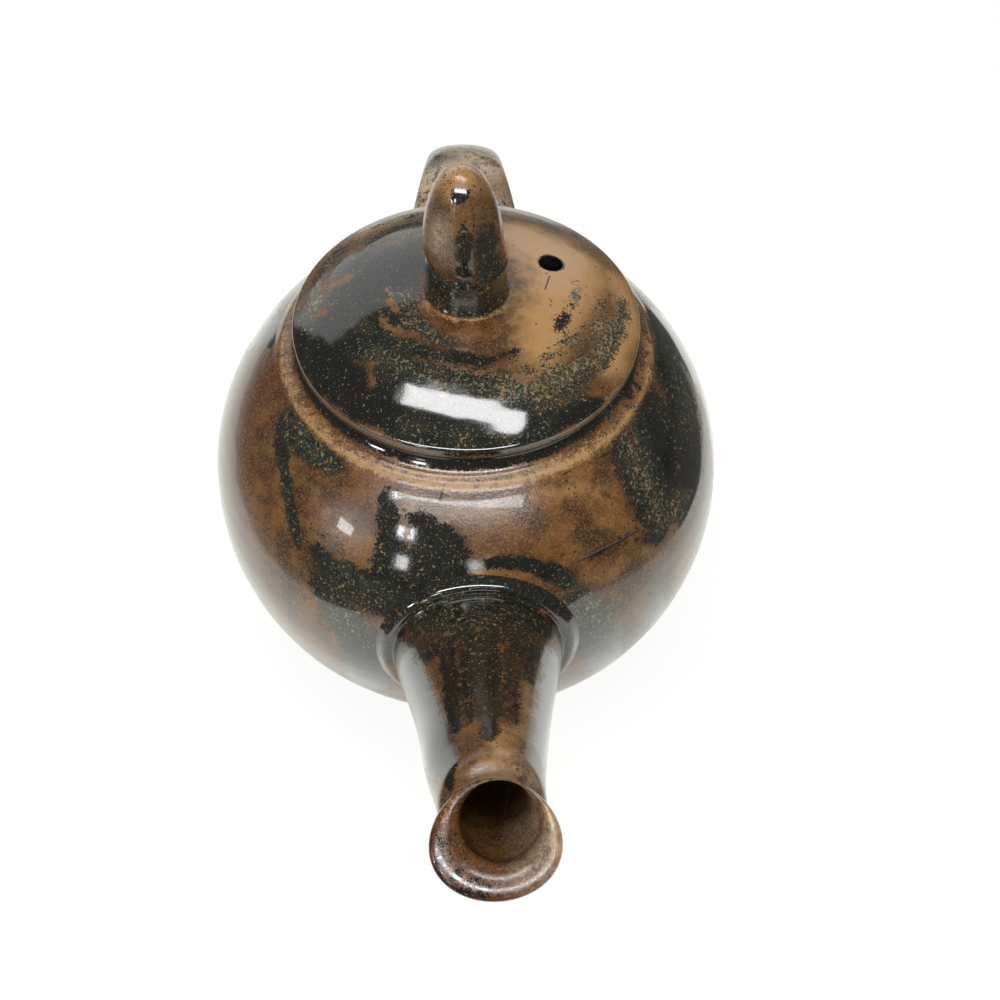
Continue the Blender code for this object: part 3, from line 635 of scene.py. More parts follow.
class Board:
    """The nodes of one material, world or lamp."""

    def __init__(self, owner):
        owner.use_nodes = True
        self.tree = owner.node_tree
        self.tree.nodes.clear()

    def add(self, kind, settings=None, inputs=None, output=0):
        """Add a node, set it, then fill its sockets with values or links."""
        node = self.tree.nodes.new(kind)
        for key, value in (settings or {}).items():
            setattr(node, key, value)
        for key, value in (inputs or {}).items():
            if isinstance(value, Reading):
                self.tree.links.new(value.socket, node.inputs[key])
            else:
                node.inputs[key].default_value = value
        return Reading(self, node.outputs[output]) if node.outputs else None

    def attribute(self, name):
        return self.add("ShaderNodeAttribute", {"attribute_name": name}, output="Fac")

    def mix(self, share, first, second):
        """A colour between two others."""
        first, second = [c if isinstance(c, Reading) else (*c, 1) for c in (first, second)]
        settings = {"data_type": "RGBA", "clamp_factor": True}
        return self.add("ShaderNodeMix", settings, {0: share, 6: first, 7: second}, output=2)

    def grain(self, place, scale, detail=2, roughness=0.5):
        """Soft noise about 0.5, with scale in features a millimetre."""
        inputs = {"Vector": place, "Scale": scale, "Detail": detail, "Roughness": roughness}
        return self.add("ShaderNodeTexNoise", {"noise_dimensions": "3D"}, inputs)

    def cells(self, place, scale):
        """The distance to the nearest of scattered points, and a number that is each point's own."""
        inputs = {"Vector": place, "Scale": scale}
        distance = self.add("ShaderNodeTexVoronoi", inputs=inputs, output="Distance")
        own = Reading(self, distance.socket.node.outputs["Color"])
        return distance, self.add("ShaderNodeSeparateColor", inputs={0: own})

    def place(self):
        """Object coordinates, in millimetres."""
        coordinates = self.add("ShaderNodeTexCoord", output="Object")
        return self.add("ShaderNodeVectorMath", {"operation": "SCALE"}, {0: coordinates, "Scale": 1 / MM})

    def rings(self, place):
        """Coordinates in which noise is drawn out along the throwing rings."""
        split = self.add("ShaderNodeSeparateXYZ", inputs={0: place})
        x, y, z = [Reading(self, output) for output in split.socket.node.outputs]
        away = self.add("ShaderNodeMath", {"operation": "SQRT"}, {0: x * x + y * y})
        inputs = {"X": x / away * 9, "Y": y / away * 9, "Z": away + z}
        return self.add("ShaderNodeCombineXYZ", inputs=inputs)

    def near_line(self, place, start, end, reach):
        """1 on a short straight line between two places in millimetres, fading to 0 at its reach."""
        start, end = Vector(start), Vector(end)
        way = end - start
        offset = self.add("ShaderNodeVectorMath", {"operation": "SUBTRACT"}, {0: place, 1: tuple(start)})
        inputs = {0: offset, 1: tuple(way / way.dot(way))}
        along = self.add("ShaderNodeVectorMath", {"operation": "DOT_PRODUCT"}, inputs, output=1)
        inputs = {0: tuple(way), "Scale": along.most(0).least(1)}
        back = self.add("ShaderNodeVectorMath", {"operation": "SCALE"}, inputs)
        gap = self.add("ShaderNodeVectorMath", {"operation": "DISTANCE"}, {0: offset, 1: back}, output=1)
        return 1 - gap.over(reach * 0.35, reach)

    def surface(self, inputs):
        """End the material in one shader that covers the whole surface."""
        shader = self.add("ShaderNodeBsdfPrincipled", inputs=inputs)
        self.add("ShaderNodeOutputMaterial", inputs={"Surface": shader})


def new_material(name):
    if name in bpy.data.materials:
        bpy.data.materials.remove(bpy.data.materials[name])
    material = bpy.data.materials.new(name)
    return material, Board(material)


GLAZE_LAYERS = ("black", "tan", "rust", "gold", "specks", "bare", "dry", "bloom_and_sheen")


def glaze_material(name, cracks=(), ringed=False, grain_lift=0.0):
    """Brown glaze with black, tan and rust washes, golden edges and ash specks, all broken up by grain."""
    colours = bpy.context.scene.teapot_glazes
    material, board = new_material(name)
    place = board.place()
    spread = board.rings(place) if ringed else place
    black, tan, rust, gold, specks, bare, dry, bloom_and_sheen = map(board.attribute, GLAZE_LAYERS)

    drift = board.grain(spread, 0.16, 3, 0.55)
    cloud = board.grain(spread, 0.55, 4, 0.62)
    fine = board.grain(place, 2.1, 3, 0.6)
    sand = board.grain(place, 5.5, 2, 0.5)

    # Brown ground
    brown = board.mix(drift.over(0.36, 0.66), colours.dark_brown, colours.brown)
    brown = board.mix((rust + (cloud - 0.5) * 0.6).over(0.25, 0.9), brown, colours.rust)
    brown = board.mix((tan + (cloud - 0.5) * 0.7 + (drift - 0.5) * 0.4).over(0.25, 0.95), brown, colours.tan)
    brown = board.mix((fine - 0.5).over(-0.02, 0.16) * 0.30, brown, colours.tan)
    # The pale colour mixed in here is dry glaze, and painted sheen on the knob's left facet
    pale = (bloom_and_sheen * (0.55 + (cloud - 0.5) * 1.6 + (fine - 0.5) * 1.2)).most(0).least(0.85)
    brown = board.mix(pale, brown, colours.pale)
    brown = board.mix((sand.over(0.60, 0.72) * 0.35).least(0.4), brown, colours.dark_brown)

    # Iron spots in the brown
    spot_gap, spot_kind = board.cells(place, 0.62)
    spots = (spot_gap < 0.16) * (spot_kind > 0.62)
    brown = board.mix(spots * 0.75, brown, colours.black)

    # Golden edge
    golden = (gold + (cloud - 0.5) * 0.9 + (fine - 0.5) * 0.9 + (sand - 0.5) * 0.5).over(0.38, 0.85)
    brown = board.mix(golden, brown, colours.gold)

    # Ash specks in the black
    flake = board.grain(place, 1.35, 2, 0.55)
    flecks = (flake + specks * 0.125).over(0.66, 0.71)
    dust = (board.grain(place, 3.1, 2, 0.5) + specks * 0.10).over(0.66, 0.72)
    dots_gap, dots_kind = board.cells(place, 1.5)
    dots = (dots_gap < 0.15) * (dots_kind > 0.72)
    ash = board.mix(cloud.over(0.42, 0.62), colours.ash, colours.tan)
    dark = board.mix(specks * cloud.over(0.35, 0.7) * 0.26, colours.black, colours.ash)
    dark = board.mix((flecks * 0.62).most(dust * 0.5).most(dots * 0.4), dark, ash)

    # Ragged edge of the black
    edge = black + (drift - 0.5) * 0.4 + (cloud - 0.5) * 1.5 + (fine - 0.5) * 1.2 + (sand - 0.5) * 0.7
    poured = edge.over(0.47, 0.54)
    skin = board.mix(poured, brown, dark)
    raw = (bare + (cloud - 0.5) * 0.5).over(0.45, 0.55)
    height = (fine + sand * 0.6) * (1 - poured * 0.85) + poured * 0.6 + drift * 0.5 + raw * sand
    if cracks:
        crack = reduce(Reading.most, [board.near_line(place, *line) for line in cracks])
        skin = board.mix(crack * 0.9, skin, colours.black)
        height = height - crack * 1.4

    # Bare clay where the glaze stops
    clay = board.mix(sand.over(0.35, 0.7), colours.clay, colours.dark_brown)
    clay = board.mix(0.55, colours.clay, clay)
    skin = board.mix(raw, skin, clay)

    bump_inputs = {"Strength": 0.5 + grain_lift, "Distance": 0.10 * MM, "Height": height}
    coat = 0.30 + (fine - 0.5) * 0.6 + poured * 0.3 - golden * 0.3 - raw * 0.9 - dry * 0.35
    board.surface(
        {
            "Base Color": skin,
            "Roughness": 0.14 + (fine - 0.5) * 0.2 - poured * 0.07 + golden * 0.2 + raw * 0.5 + dry * 0.22,
            "Normal": board.add("ShaderNodeBump", inputs=bump_inputs),
            "Coat Weight": coat.most(0).least(1),
            "Coat Roughness": 0.05,
            "Coat IOR": 1.5,
            "IOR": 1.5,
            "Specular IOR Level": 0.5,
        }
    )
    return material


def clay_material():
    """Bare stoneware: sandy, matt, with dark grog."""
    colours = bpy.context.scene.teapot_glazes
    material, board = new_material("bare_stoneware")
    place = board.place()
    drift = board.grain(place, 0.2, 3, 0.6)
    sand = board.grain(place, 3.2, 4, 0.65)
    gap, kind = board.cells(place, 0.9)
    grog = (gap < 0.17) * (kind > 0.55)
    skin = board.mix(drift.over(0.35, 0.7) * 0.5, colours.clay, colours.tan)
    skin = board.mix(sand.over(0.4, 0.75) * 0.45, skin, colours.dark_brown)
    skin = board.mix(grog * 0.7, skin, colours.dark_brown)
    bump_inputs = {"Strength": 0.5, "Distance": 0.12 * MM, "Height": sand + grog * 0.5}
    bump = board.add("ShaderNodeBump", inputs=bump_inputs)
    board.surface({"Base Color": skin, "Roughness": 0.72 + (sand - 0.5) * 0.2, "Normal": bump})
    return material


def shared_clay():
    """The bare clay that the foot was given, or a new one where the foot isn't made yet."""
    return bpy.data.materials.get("bare_stoneware") or clay_material()


# Pieces


# How fine the waves and the rings are that the hand leaves, in metres
SLOW_WAVE, QUICK_WAVE = 0.030, 0.012
GLOBE_RING_SPACING = 0.0052
LID_RING_SPACING = 0.0036
# How far from the seat and the foot the waves die out
CALM_REACH = 0.004


def wobble(place):
    """How far a thrown surface strays from true at a place, in metres."""
    slow = hand_noise(place, SLOW_WAVE) + 0.45 * hand_noise(place + Vector((0.3, 0, 0)), QUICK_WAVE)
    return bpy.context.scene.teapot_clay.hand_wobble * slow


# Fine cracks in the globe's glaze: two ends in millimetres and a width
GLOBE_CRACKS = [
    ((21.1, -48.7, 81.3), (27.2, -45.8, 81.3), 0.46),
    ((27.2, -45.8, 81.3), (34.4, -41.0, 80.6), 0.42),
    ((-6.6, -40.6, 96.7), (-7.2, -42.2, 95.0), 0.30),
    ((28.5, -31.5, 95.6), (18.0, -37.6, 96.4), 0.24),
]
LID_CRACKS = [((17.9, 3.6, 112.6), (16.6, -0.6, 112.9), 0.26)]
# The throat opens from the mouth to the globe's inner side past this radius and height
THROAT = (0.0312, 0.0952)
# How far up and down the golden line where the neck starts reaches, and the bare line above the foot
COLLAR_REACH = 0.0020
BARE_REACH = 0.0035


class TEAPOT_OT_throw_globe(bpy.types.Operator):
    """Throw the globe and its neck in one piece, with the outlet cut behind the spout"""

    bl_idname = "teapot.throw_globe"
    bl_label = "Throw the globe"

    def execute(self, context):
        clay = context.scene.teapot_clay
        mouth = clay.neck_bore_radius
        throat_top = NECK_FOOT - 0.0005
        outer = globe_arc(0, BASE_TOP, MOUTH_CUT - 0.0016, 124)
        neck = [
            (NECK_ROOT_RADIUS - 0.0002, NECK_FOOT + 0.0001),
            (NECK_ROOT_RADIUS - 0.0024, NECK_FOOT + 0.0009),
            (clay.neck_top_radius + 0.0006, SEAT - 0.0019),
            (clay.neck_top_radius, SEAT - 0.0008),
        ]
        shoulder = smooth_outline([*outer[-4:], *neck], 4)
        rim = rounded([neck[-1], (clay.neck_top_radius, SEAT), (mouth, SEAT), (mouth, throat_top)], 0.0006)
        floor = BASE_TOP + clay.floor_thickness
        inner = globe_arc(clay.body_wall, floor, MOUTH_CUT - 0.003, 46)
        throat = smooth_outline([(mouth, throat_top), THROAT, inner[-2]], 5)
        outline = [(0, BASE_TOP), (FOOT_RADIUS * 0.6, BASE_TOP), *outer[:-4], *shoulder, *rim[1:]]
        outline += [*throat[1:], *reversed(inner[:-2]), (0, floor)]
        piece = thrown("pot_globe", outline, GLOBE_TURNS)
        set_by_hand(piece, self.hand_mark)
        cut_out(piece, outlet_cutter(clay.outlet_radius))

        places = places_of(piece)
        height = places[:, 2]
        outside = np.hypot(places[:, 0], places[:, 1]) > mouth + 0.002
        inner_share = 1 - 0.5 * clay.body_wall / BODY_RADIUS
        inside = (((places - GLOBE_CENTRE) * GLOBE_SCALE) ** 2).sum(1) < inner_share**2
        collar = near_to(height, NECK_FOOT + 0.0001, COLLAR_REACH) * outside
        # Painted shade: the neck's wall above the golden line lies in the lid's shadow, so it is painted
        # nearly black
        neck = held((height - NECK_FOOT - 0.0010) / 0.0010) * outside
        covers = brushed_glazes(
            places,
            globe_point,
            windows=GLOBE_WINDOWS,
            black=GLOBE_BLACK,
            tan=GLOBE_TAN,
            rust=GLOBE_RUST,
            specks=GLOBE_SPECKS,
        )
        # The neck mask adds painted shade from the lid's edge to the black
        covers["black"] = np.where(inside, 0.35, np.maximum(covers["black"] * (1 - 0.7 * collar), neck * 0.9))
        covers["tan"] = np.where(inside, 0.2, covers["tan"])
        covers["gold"] = np.where(inside, 0, collar * (0.62 - 0.2 * places[:, 1] / NECK_ROOT_RADIUS))
        covers["bare"] = np.where(inside, 0, held(1 - (height - BASE_TOP) / BARE_REACH))
        paint(piece, covers)
        glaze = glaze_material("globe_glaze", cracks=GLOBE_CRACKS)
        finish_piece(piece, glaze, "pot", "brown_glaze", "pot_body", "mouth_ring")
        return {"FINISHED"}

    @staticmethod
    def hand_mark(place):
        """Wobble outside, faint rings inside and out, and none on the seat."""
        clay = bpy.context.scene.teapot_clay
        calm = min(1, max(0, (NECK_FOOT + 0.001 - place.z) / CALM_REACH))
        calm *= min(1, (place.z - BASE_TOP) / CALM_REACH)
        turn = math.atan2(place.x, place.y)
        ring = math.sin((place.z + turn * 0.0006) / GLOBE_RING_SPACING * math.tau) * clay.throwing_rings
        out = Vector((place.x, place.y, 0))
        if out.length < WELD:
            return Vector()
        return out.normalized() * (wobble(place) + ring) * calm


def outlet_cutter(radius):
    """A round rod through the front wall along the spout's root."""
    centre, along, _ = spout_root()
    bpy.ops.object.select_all(action="DESELECT")
    middle = centre - along * 0.004
    bpy.ops.mesh.primitive_cylinder_add(vertices=64, radius=radius, depth=0.030, location=middle)
    cutter = bpy.context.object
    cutter.rotation_euler = along.to_track_quat("Z", "X").to_euler()
    bpy.ops.object.transform_apply(location=True, rotation=True, scale=True)
    return cutter


# The rim that the foot stands on, and the hollow that is turned out below, in metres
FOOT_RIM = 0.0065
FOOT_HOLLOW = 0.0010


class TEAPOT_OT_turn_foot(bpy.types.Operator):
    """Turn the low foot and round its edges"""

    bl_idname = "teapot.turn_foot"
    bl_label = "Turn the foot"

    def execute(self, context):
        hollow_radius = FOOT_RADIUS - FOOT_RIM
        outline = rounded(
            [
                (0, FOOT_TOP),
                (FOOT_RADIUS + 0.0012, FOOT_TOP + 0.0009),
                (FOOT_RADIUS, FOOT_TOP - 0.0012),
                (FOOT_RADIUS, 0.0010),
                (FOOT_RADIUS - 0.0012, 0),
                (hollow_radius, 0),
                (hollow_radius - 0.0012, FOOT_HOLLOW),
                (0, FOOT_HOLLOW),
            ],
            0.0007,
        )
        piece = thrown("pot_foot", outline, RING_TURNS)
        set_by_hand(piece, swell_round(0.02, 0.003))
        finish_piece(piece, clay_material(), "pot", "bare_clay", "foot")
        return {"FINISHED"}


# The spout's middle line: forward, height, slope in degrees and outer radius, from root to mouth
SPOUT_STATIONS = [
    (59.5, 62.0, 20.0, 18.2),
    (65.7, 64.9, 20.4, 16.6),
    (71.8, 67.9, 21.6, 15.2),
    (78.1, 71.4, 23.6, 13.9),
    (84.4, 75.3, 26.4, 12.7),
    (90.4, 79.2, 30.0, 11.7),
    (95.7, 82.9, 34.4, 10.8),
    (100.6, 86.4, 39.6, 10.1),
    (105.4, 89.9, 45.6, 9.7),
    (110.0, 93.2, 52.4, 9.6),
    (114.6, 96.5, 60.0, 9.6),
]
SPOUT_WALL = 3.5
SPOUT_SEGMENTS = 40
# Where the rings of its outer and inner side stand, as shares of its length
SPOUT_OUTER = [0.02, 0.05, 0.09, 0.14, *[0.2 + 0.075 * step for step in range(9)], 0.86]
SPOUT_INNER = [0.84, 0.75, 0.65, 0.54, 0.42, 0.3, 0.18, 0.06]
# Where it is fuller on its left: by how many millimetres, at which share of its length and over what share
SPOUT_LEAN, LEAN_PLACE, LEAN_REACH = 1.1, 0.60, 0.17
# The welt's section: distance out from the spout's root and height above the globe, in millimetres
WELT = [(5.2, -0.6), (4.0, 0.02), (3.2, 0.30), (2.4, 0.80), (1.6, 1.0), (0.8, 0.95), (0.15, 0.62)]
# The lip from outside to bore: shares of its wall, of its drop down the slope, of its height along the spout,
# and of the opening's shift off the lip's middle
LIP = [
    (0.50, 0.20, -4.0, 0),
    (0.80, 0.60, -2.2, 0),
    (1.0, 1.0, -0.6, 0),
    (1.0, 1.0, 0.15, 0),
    (0.90, 1.0, 0.70, 0.10),
    (0.70, 0.95, 1.0, 0.30),
    (0.46, 0.8, 0.98, 0.54),
    (0.24, 0.6, 0.60, 0.76),
    (0.09, 0.4, -0.25, 0.92),
    (0.0, 0.2, -1.5, 1.0),
    (-0.02, 0.1, -3.2, 0.7),
]
# The lip in millimetres: its bore, its wall at the side and above, its height and drop, and how far
# the opening lies off its middle, to the right and upward
MOUTH_BORE = 6.9
LIP_SIDE_WALL = 4.5
LIP_UPRIGHT_WALL = 3.4
LIP_HEIGHT = 1.2
LIP_FORWARD = 1.0
LIP_SHIFT = 1.1
LIP_RISE = 2.4
# Past this share strokes widen with the lip, and before the root they run back onto the globe,
# both in millimetres for a whole share
LIP_START, LIP_FLARE, ROOT_RUN = 0.9, 18, 60
# How far from the mouth's middle the dry rim ends, and where its golden edge lies, in metres
DRY_REACH = 0.019
GOLDEN_EDGE, GOLDEN_REACH, GOLDEN_LOW = 0.0092, 0.0022, 0.0985


def spout_station(share):
    """The middle line's forward, height, slope and outer radius at a share of its length."""
    place = min(max(share, 0), 1) * (len(SPOUT_STATIONS) - 1)
    index = min(int(place), len(SPOUT_STATIONS) - 2)
    first, second = SPOUT_STATIONS[index], SPOUT_STATIONS[index + 1]
    return [a + (b - a) * (place - index) for a, b in zip(first, second)]


def spout_root():
    """The middle of the spout's root, the way it points and the way square to that and up."""
    forward, height, slope, _ = SPOUT_STATIONS[0]
    angle = math.radians(slope)
    along = Vector((0, -math.cos(angle), math.sin(angle)))
    return Vector((0, -forward, height)) * MM, along, Vector((0, math.sin(angle), math.cos(angle)))


def off_middle(forward, height, angle, side, up):
    """A point beside and above the spout's middle line, in metres, from millimetres square to its slope."""
    return Vector((side, -(forward - up * math.sin(angle)), height + up * math.cos(angle))) * MM


def spout_ring(forward, height, slope, radius, upright=None, drop=0, lift=0, lean=0, shift=0, rise=0):
    """A ring square to the slope, egg-shaped where its upright radius differs, in metres."""
    upright = upright or radius
    egg_share = 1 - upright / radius
    angle = math.radians(slope)
    forward += drop * math.sin(angle) + lift * math.cos(angle)
    height += lift * math.sin(angle) - drop * math.cos(angle)
    ring = []
    for index in range(SPOUT_SEGMENTS):
        turn = math.tau * index / SPOUT_SEGMENTS
        side = radius * math.cos(turn) * (1 - egg_share * math.sin(turn))
        side += shift - lean * max(0, -math.cos(turn)) ** 2
        ring.append(off_middle(forward, height, angle, side, upright * math.sin(turn) + rise))
    return ring


def wall_rings(shares, inset=0):
    """Rings up the spout's outer side, or set in from it by some millimetres."""
    rings = []
    for share in shares:
        forward, height, slope, radius = spout_station(share)
        lean = SPOUT_LEAN * math.exp(-(((share - LEAN_PLACE) / LEAN_REACH) ** 2))
        rings.append(spout_ring(forward, height, slope, radius - inset, lean=lean))
    return rings


def welt_ring(radius, lift):
    """A ring that lies on the globe round the spout's axis."""
    centre, along, up = spout_root()
    ring = []
    for index in range(SPOUT_SEGMENTS):
        turn = math.tau * index / SPOUT_SEGMENTS
        start = centre + (Vector((1, 0, 0)) * math.cos(turn) + up * math.sin(turn)) * radius * MM
        ring.append(onto_globe(start, along, lift * MM))
    return ring


def spout_point(share, turn):
    """A place on the spout: share of its length, and degrees round from its top toward +X."""
    forward, height, slope, radius = spout_station(share)
    radius += max(0, share - LIP_START) * LIP_FLARE
    forward += min(share, 0) * ROOT_RUN
    turn = math.radians(turn)
    return off_middle(forward, height, math.radians(slope), radius * math.sin(turn), radius * math.cos(turn))


class TEAPOT_OT_pull_spout(bpy.types.Operator):
    """Pull the spout, roll its lip and press a welt of clay round its root"""

    bl_idname = "teapot.pull_spout"
    bl_label = "Pull the spout"

    def execute(self, context):
        clay = context.scene.teapot_clay
        root = SPOUT_STATIONS[0][3]
        rings = [welt_ring(root + out, lift * clay.welt_height / MM) for out, lift in WELT]
        rings += [welt_ring(root - 0.35, 1.15), *wall_rings(SPOUT_OUTER)]
        mouth = SPOUT_STATIONS[-1][:3]
        for wide, drop, lift, inward in LIP:
            rings.append(
                spout_ring(
                    *mouth,
                    MOUTH_BORE + LIP_SIDE_WALL * wide,
                    MOUTH_BORE + LIP_UPRIGHT_WALL * wide,
                    LIP_FORWARD * drop,
                    LIP_HEIGHT * lift,
                    shift=LIP_SHIFT * inward,
                    rise=LIP_RISE * inward,
                )
            )
        rings += [*wall_rings(SPOUT_INNER, SPOUT_WALL), welt_ring(root - SPOUT_WALL, -0.7)]
        piece = pulled("pot_spout", rings, closed=True)
        set_by_hand(piece, lambda place: globe_normal(place) * wobble(place) * 0.8)

        places = places_of(piece)
        mouth_middle = Vector((0, -mouth[0], mouth[1])) * MM
        from_mouth = np.linalg.norm(places - mouth_middle, axis=1)
        rim = held((DRY_REACH - from_mouth) / 0.006)
        covers = brushed_glazes(
            places,
            spout_point,
            windows=SPOUT_WINDOWS,
            black=SPOUT_BLACK,
            tan=SPOUT_TAN,
            rust=SPOUT_RUST,
            specks=SPOUT_SPECKS,
        )
        covers["gold"] = near_to(from_mouth, GOLDEN_EDGE, GOLDEN_REACH) * (places[:, 2] > GOLDEN_LOW) * 0.55
        covers["dry"] = rim * 0.3
        covers["bloom_and_sheen"] = rim * np.clip(places[:, 0] / 0.024, 0, 0.3)
        paint(piece, covers)
        glaze = glaze_material("spout_glaze")
        finish_piece(piece, glaze, "pot", "black_glaze", "spout", "spout_collar", angle=80)
        return {"FINISHED"}


# The handle's middle line, back and up, in millimetres, and its widths along it
HANDLE_LINE = [
    (48.1, 81.46),
    (56.04, 88.02),
    (67.0, 89.66),
    (85.36, 79.73),
    (92.5, 60.46),
    (82.55, 45.97),
    (64.45, 32.86),
    (47.26, 25.96),
]
HANDLE_WIDTHS = [30, 22, 16, 16, 21]
HANDLE_SEGMENTS = 24
# The strap's thickness in its middle, and how much thicker it is at its roots, in millimetres
HANDLE_THICKNESS, HANDLE_SWELL = 7.0, 2.5
# How round the strap's section is: 1 is an ellipse, and less is squarer
STRAP_ROUNDNESS = 0.94
# How far the handle points off the pot's middle, in degrees
HANDLE_TURN = 1.8
# The skirt at each root: how far out from the strap, and how high above the globe, in millimetres
HANDLE_SKIRT = [(4.4, -0.6), (3.2, 0.05), (2.2, 0.35), (1.3, 0.95), (0.6, 1.9)]
# How far off the globe the strap is free of its skirts
SKIRT_TOP = 0.0022


def strap_section(share, grow=0):
    """Across and through offsets of the strap's section, in millimetres."""
    place = share * (len(HANDLE_WIDTHS) - 1)
    index = min(int(place), len(HANDLE_WIDTHS) - 2)
    width = HANDLE_WIDTHS[index] + (HANDLE_WIDTHS[index + 1] - HANDLE_WIDTHS[index]) * (place - index)
    thickness = HANDLE_THICKNESS + HANDLE_SWELL * abs(2 * share - 1) ** 4
    section = []
    for step in range(HANDLE_SEGMENTS):
        angle = math.tau * step / HANDLE_SEGMENTS
        turned = (math.cos(angle), math.sin(angle))
        across, through = [math.copysign(abs(part) ** STRAP_ROUNDNESS, part) for part in turned]
        offset = Vector((across * width / 2, through * thickness / 2))
        section.append(offset + offset.normalized() * grow)
    return section


def strap_ring(middle, ahead, share, grow=0):
    """The strap's section at a place on its middle line, square to the way ahead, in metres."""
    ring = []
    for across, through in strap_section(share, grow):
        ring.append(Vector((across, middle.x - ahead.y * through, middle.y + ahead.x * through)) * MM)
    return ring


class TEAPOT_OT_pull_handle(bpy.types.Operator):
    """Pull the strap handle and smooth both its ends onto the globe"""

    bl_idname = "teapot.pull_handle"
    bl_label = "Pull the handle"

    def execute(self, context):
        line = smooth_line([(*point, 0) for point in HANDLE_LINE], 5)
        last = len(line) - 1
        rings = []
        for index, point in enumerate(line):
            ahead = (line[min(index + 1, last)] - line[max(index - 1, 0)]).normalized()
            rings.append(strap_ring(point, ahead, index / last))
        free = [ring for ring in rings if all(self.outside(point) > SKIRT_TOP for point in ring)]
        top = self.skirt(line[0], line[1] - line[0], 0)
        low = self.skirt(line[-1], line[-2] - line[-1], 1)
        piece = pulled("pot_handle", [*top, *free, *reversed(low)], closed=False)
        piece.data.transform(Matrix.Rotation(math.radians(HANDLE_TURN), 4, "Z").inverted())
        set_by_hand(piece, lambda place: Vector((0.4, 1, 0.3)) * hand_noise(place, 0.016) * 0.00018)

        places = places_of(piece)
        mottle = noise_at(places, 0.009)
        black = brushed(places, HANDLE_BLACK, lambda *point: Vector(point) * MM)
        covers = {
            "black": np.maximum(black * 0.9, np.clip(0.36 + mottle * 0.3, 0, 0.5)),
            "tan": held(0.6 + mottle * 0.6),
            "rust": np.clip(0.1 - mottle * 0.4, 0, 0.3),
            "specks": held(0.6 + mottle),
            "dry": held(0.62 + mottle * 0.5),
            "bloom_and_sheen": held(0.70 + mottle * 0.6),
        }
        paint(piece, covers)
        glaze = glaze_material("handle_glaze", grain_lift=0.08)
        finish_piece(piece, glaze, "pot", "tan_glaze", "handle", angle=80)
        return {"FINISHED"}

    @staticmethod
    def outside(point):
        """How far a point lies outside the globe, roughly."""
        offset = (point - GLOBE_CENTRE) * GLOBE_SCALE
        return (offset.length - 1) * BODY_RADIUS

    @staticmethod
    def skirt(start, way, share):
        """Rings from under the globe's skin up to the strap at one of its roots."""
        way = way.normalized()
        along = Vector((0, way.x, way.y))
        ahead = way if share == 0 else -way
        rings = []
        for out, lift in HANDLE_SKIRT:
            ring = strap_ring(start, ahead, share, out)
            rings.append([onto_globe(place, along, lift * MM) for place in ring])
        return rings


# The lid's dome rises from its edge to a level land under the knob
LID_LAND_RADIUS = 0.0083
LID_DOME_POWER = 2.2
STEAM_HOLE_PLACE = (18.73 * MM, 8.34 * MM)
# The rod that pierces the hole: its radius as a share of the hole's, and its height above the dome
HOLE_FLARE = [(1.9, 0.0035), (1.36, 0.0010), (1.15, 0.0002), (1.03, -0.0003), (0.97, -0.0010), (0.97, -0.012)]
# Where the golden ring round the knob's foot lies, and how wide it is
LAND_RING, LAND_RING_REACH = 0.0098, 0.0024
# Further out than this from the hole's middle the glaze is the dome's
HOLE_SURROUND = 0.0045
# How far below the dome's top side a place counts as under it
SKIN = 0.0008


def lid_height(radius):
    edge_top = LID_UNDERSIDE + bpy.context.scene.teapot_clay.lid_edge_height
    share = min(1, max(0, (radius - LID_LAND_RADIUS) / (LID_RADIUS - LID_LAND_RADIUS)))
    return edge_top + (LID_TOP - edge_top) * (1 - share**LID_DOME_POWER)


def lid_point(turn, away):
    """A place on the lid: degrees round from the spout's side toward +X, and millimetres out."""
    angle = math.radians(turn)
    radius = away * MM
    return Vector((radius * math.sin(angle), -radius * math.cos(angle), lid_height(radius)))


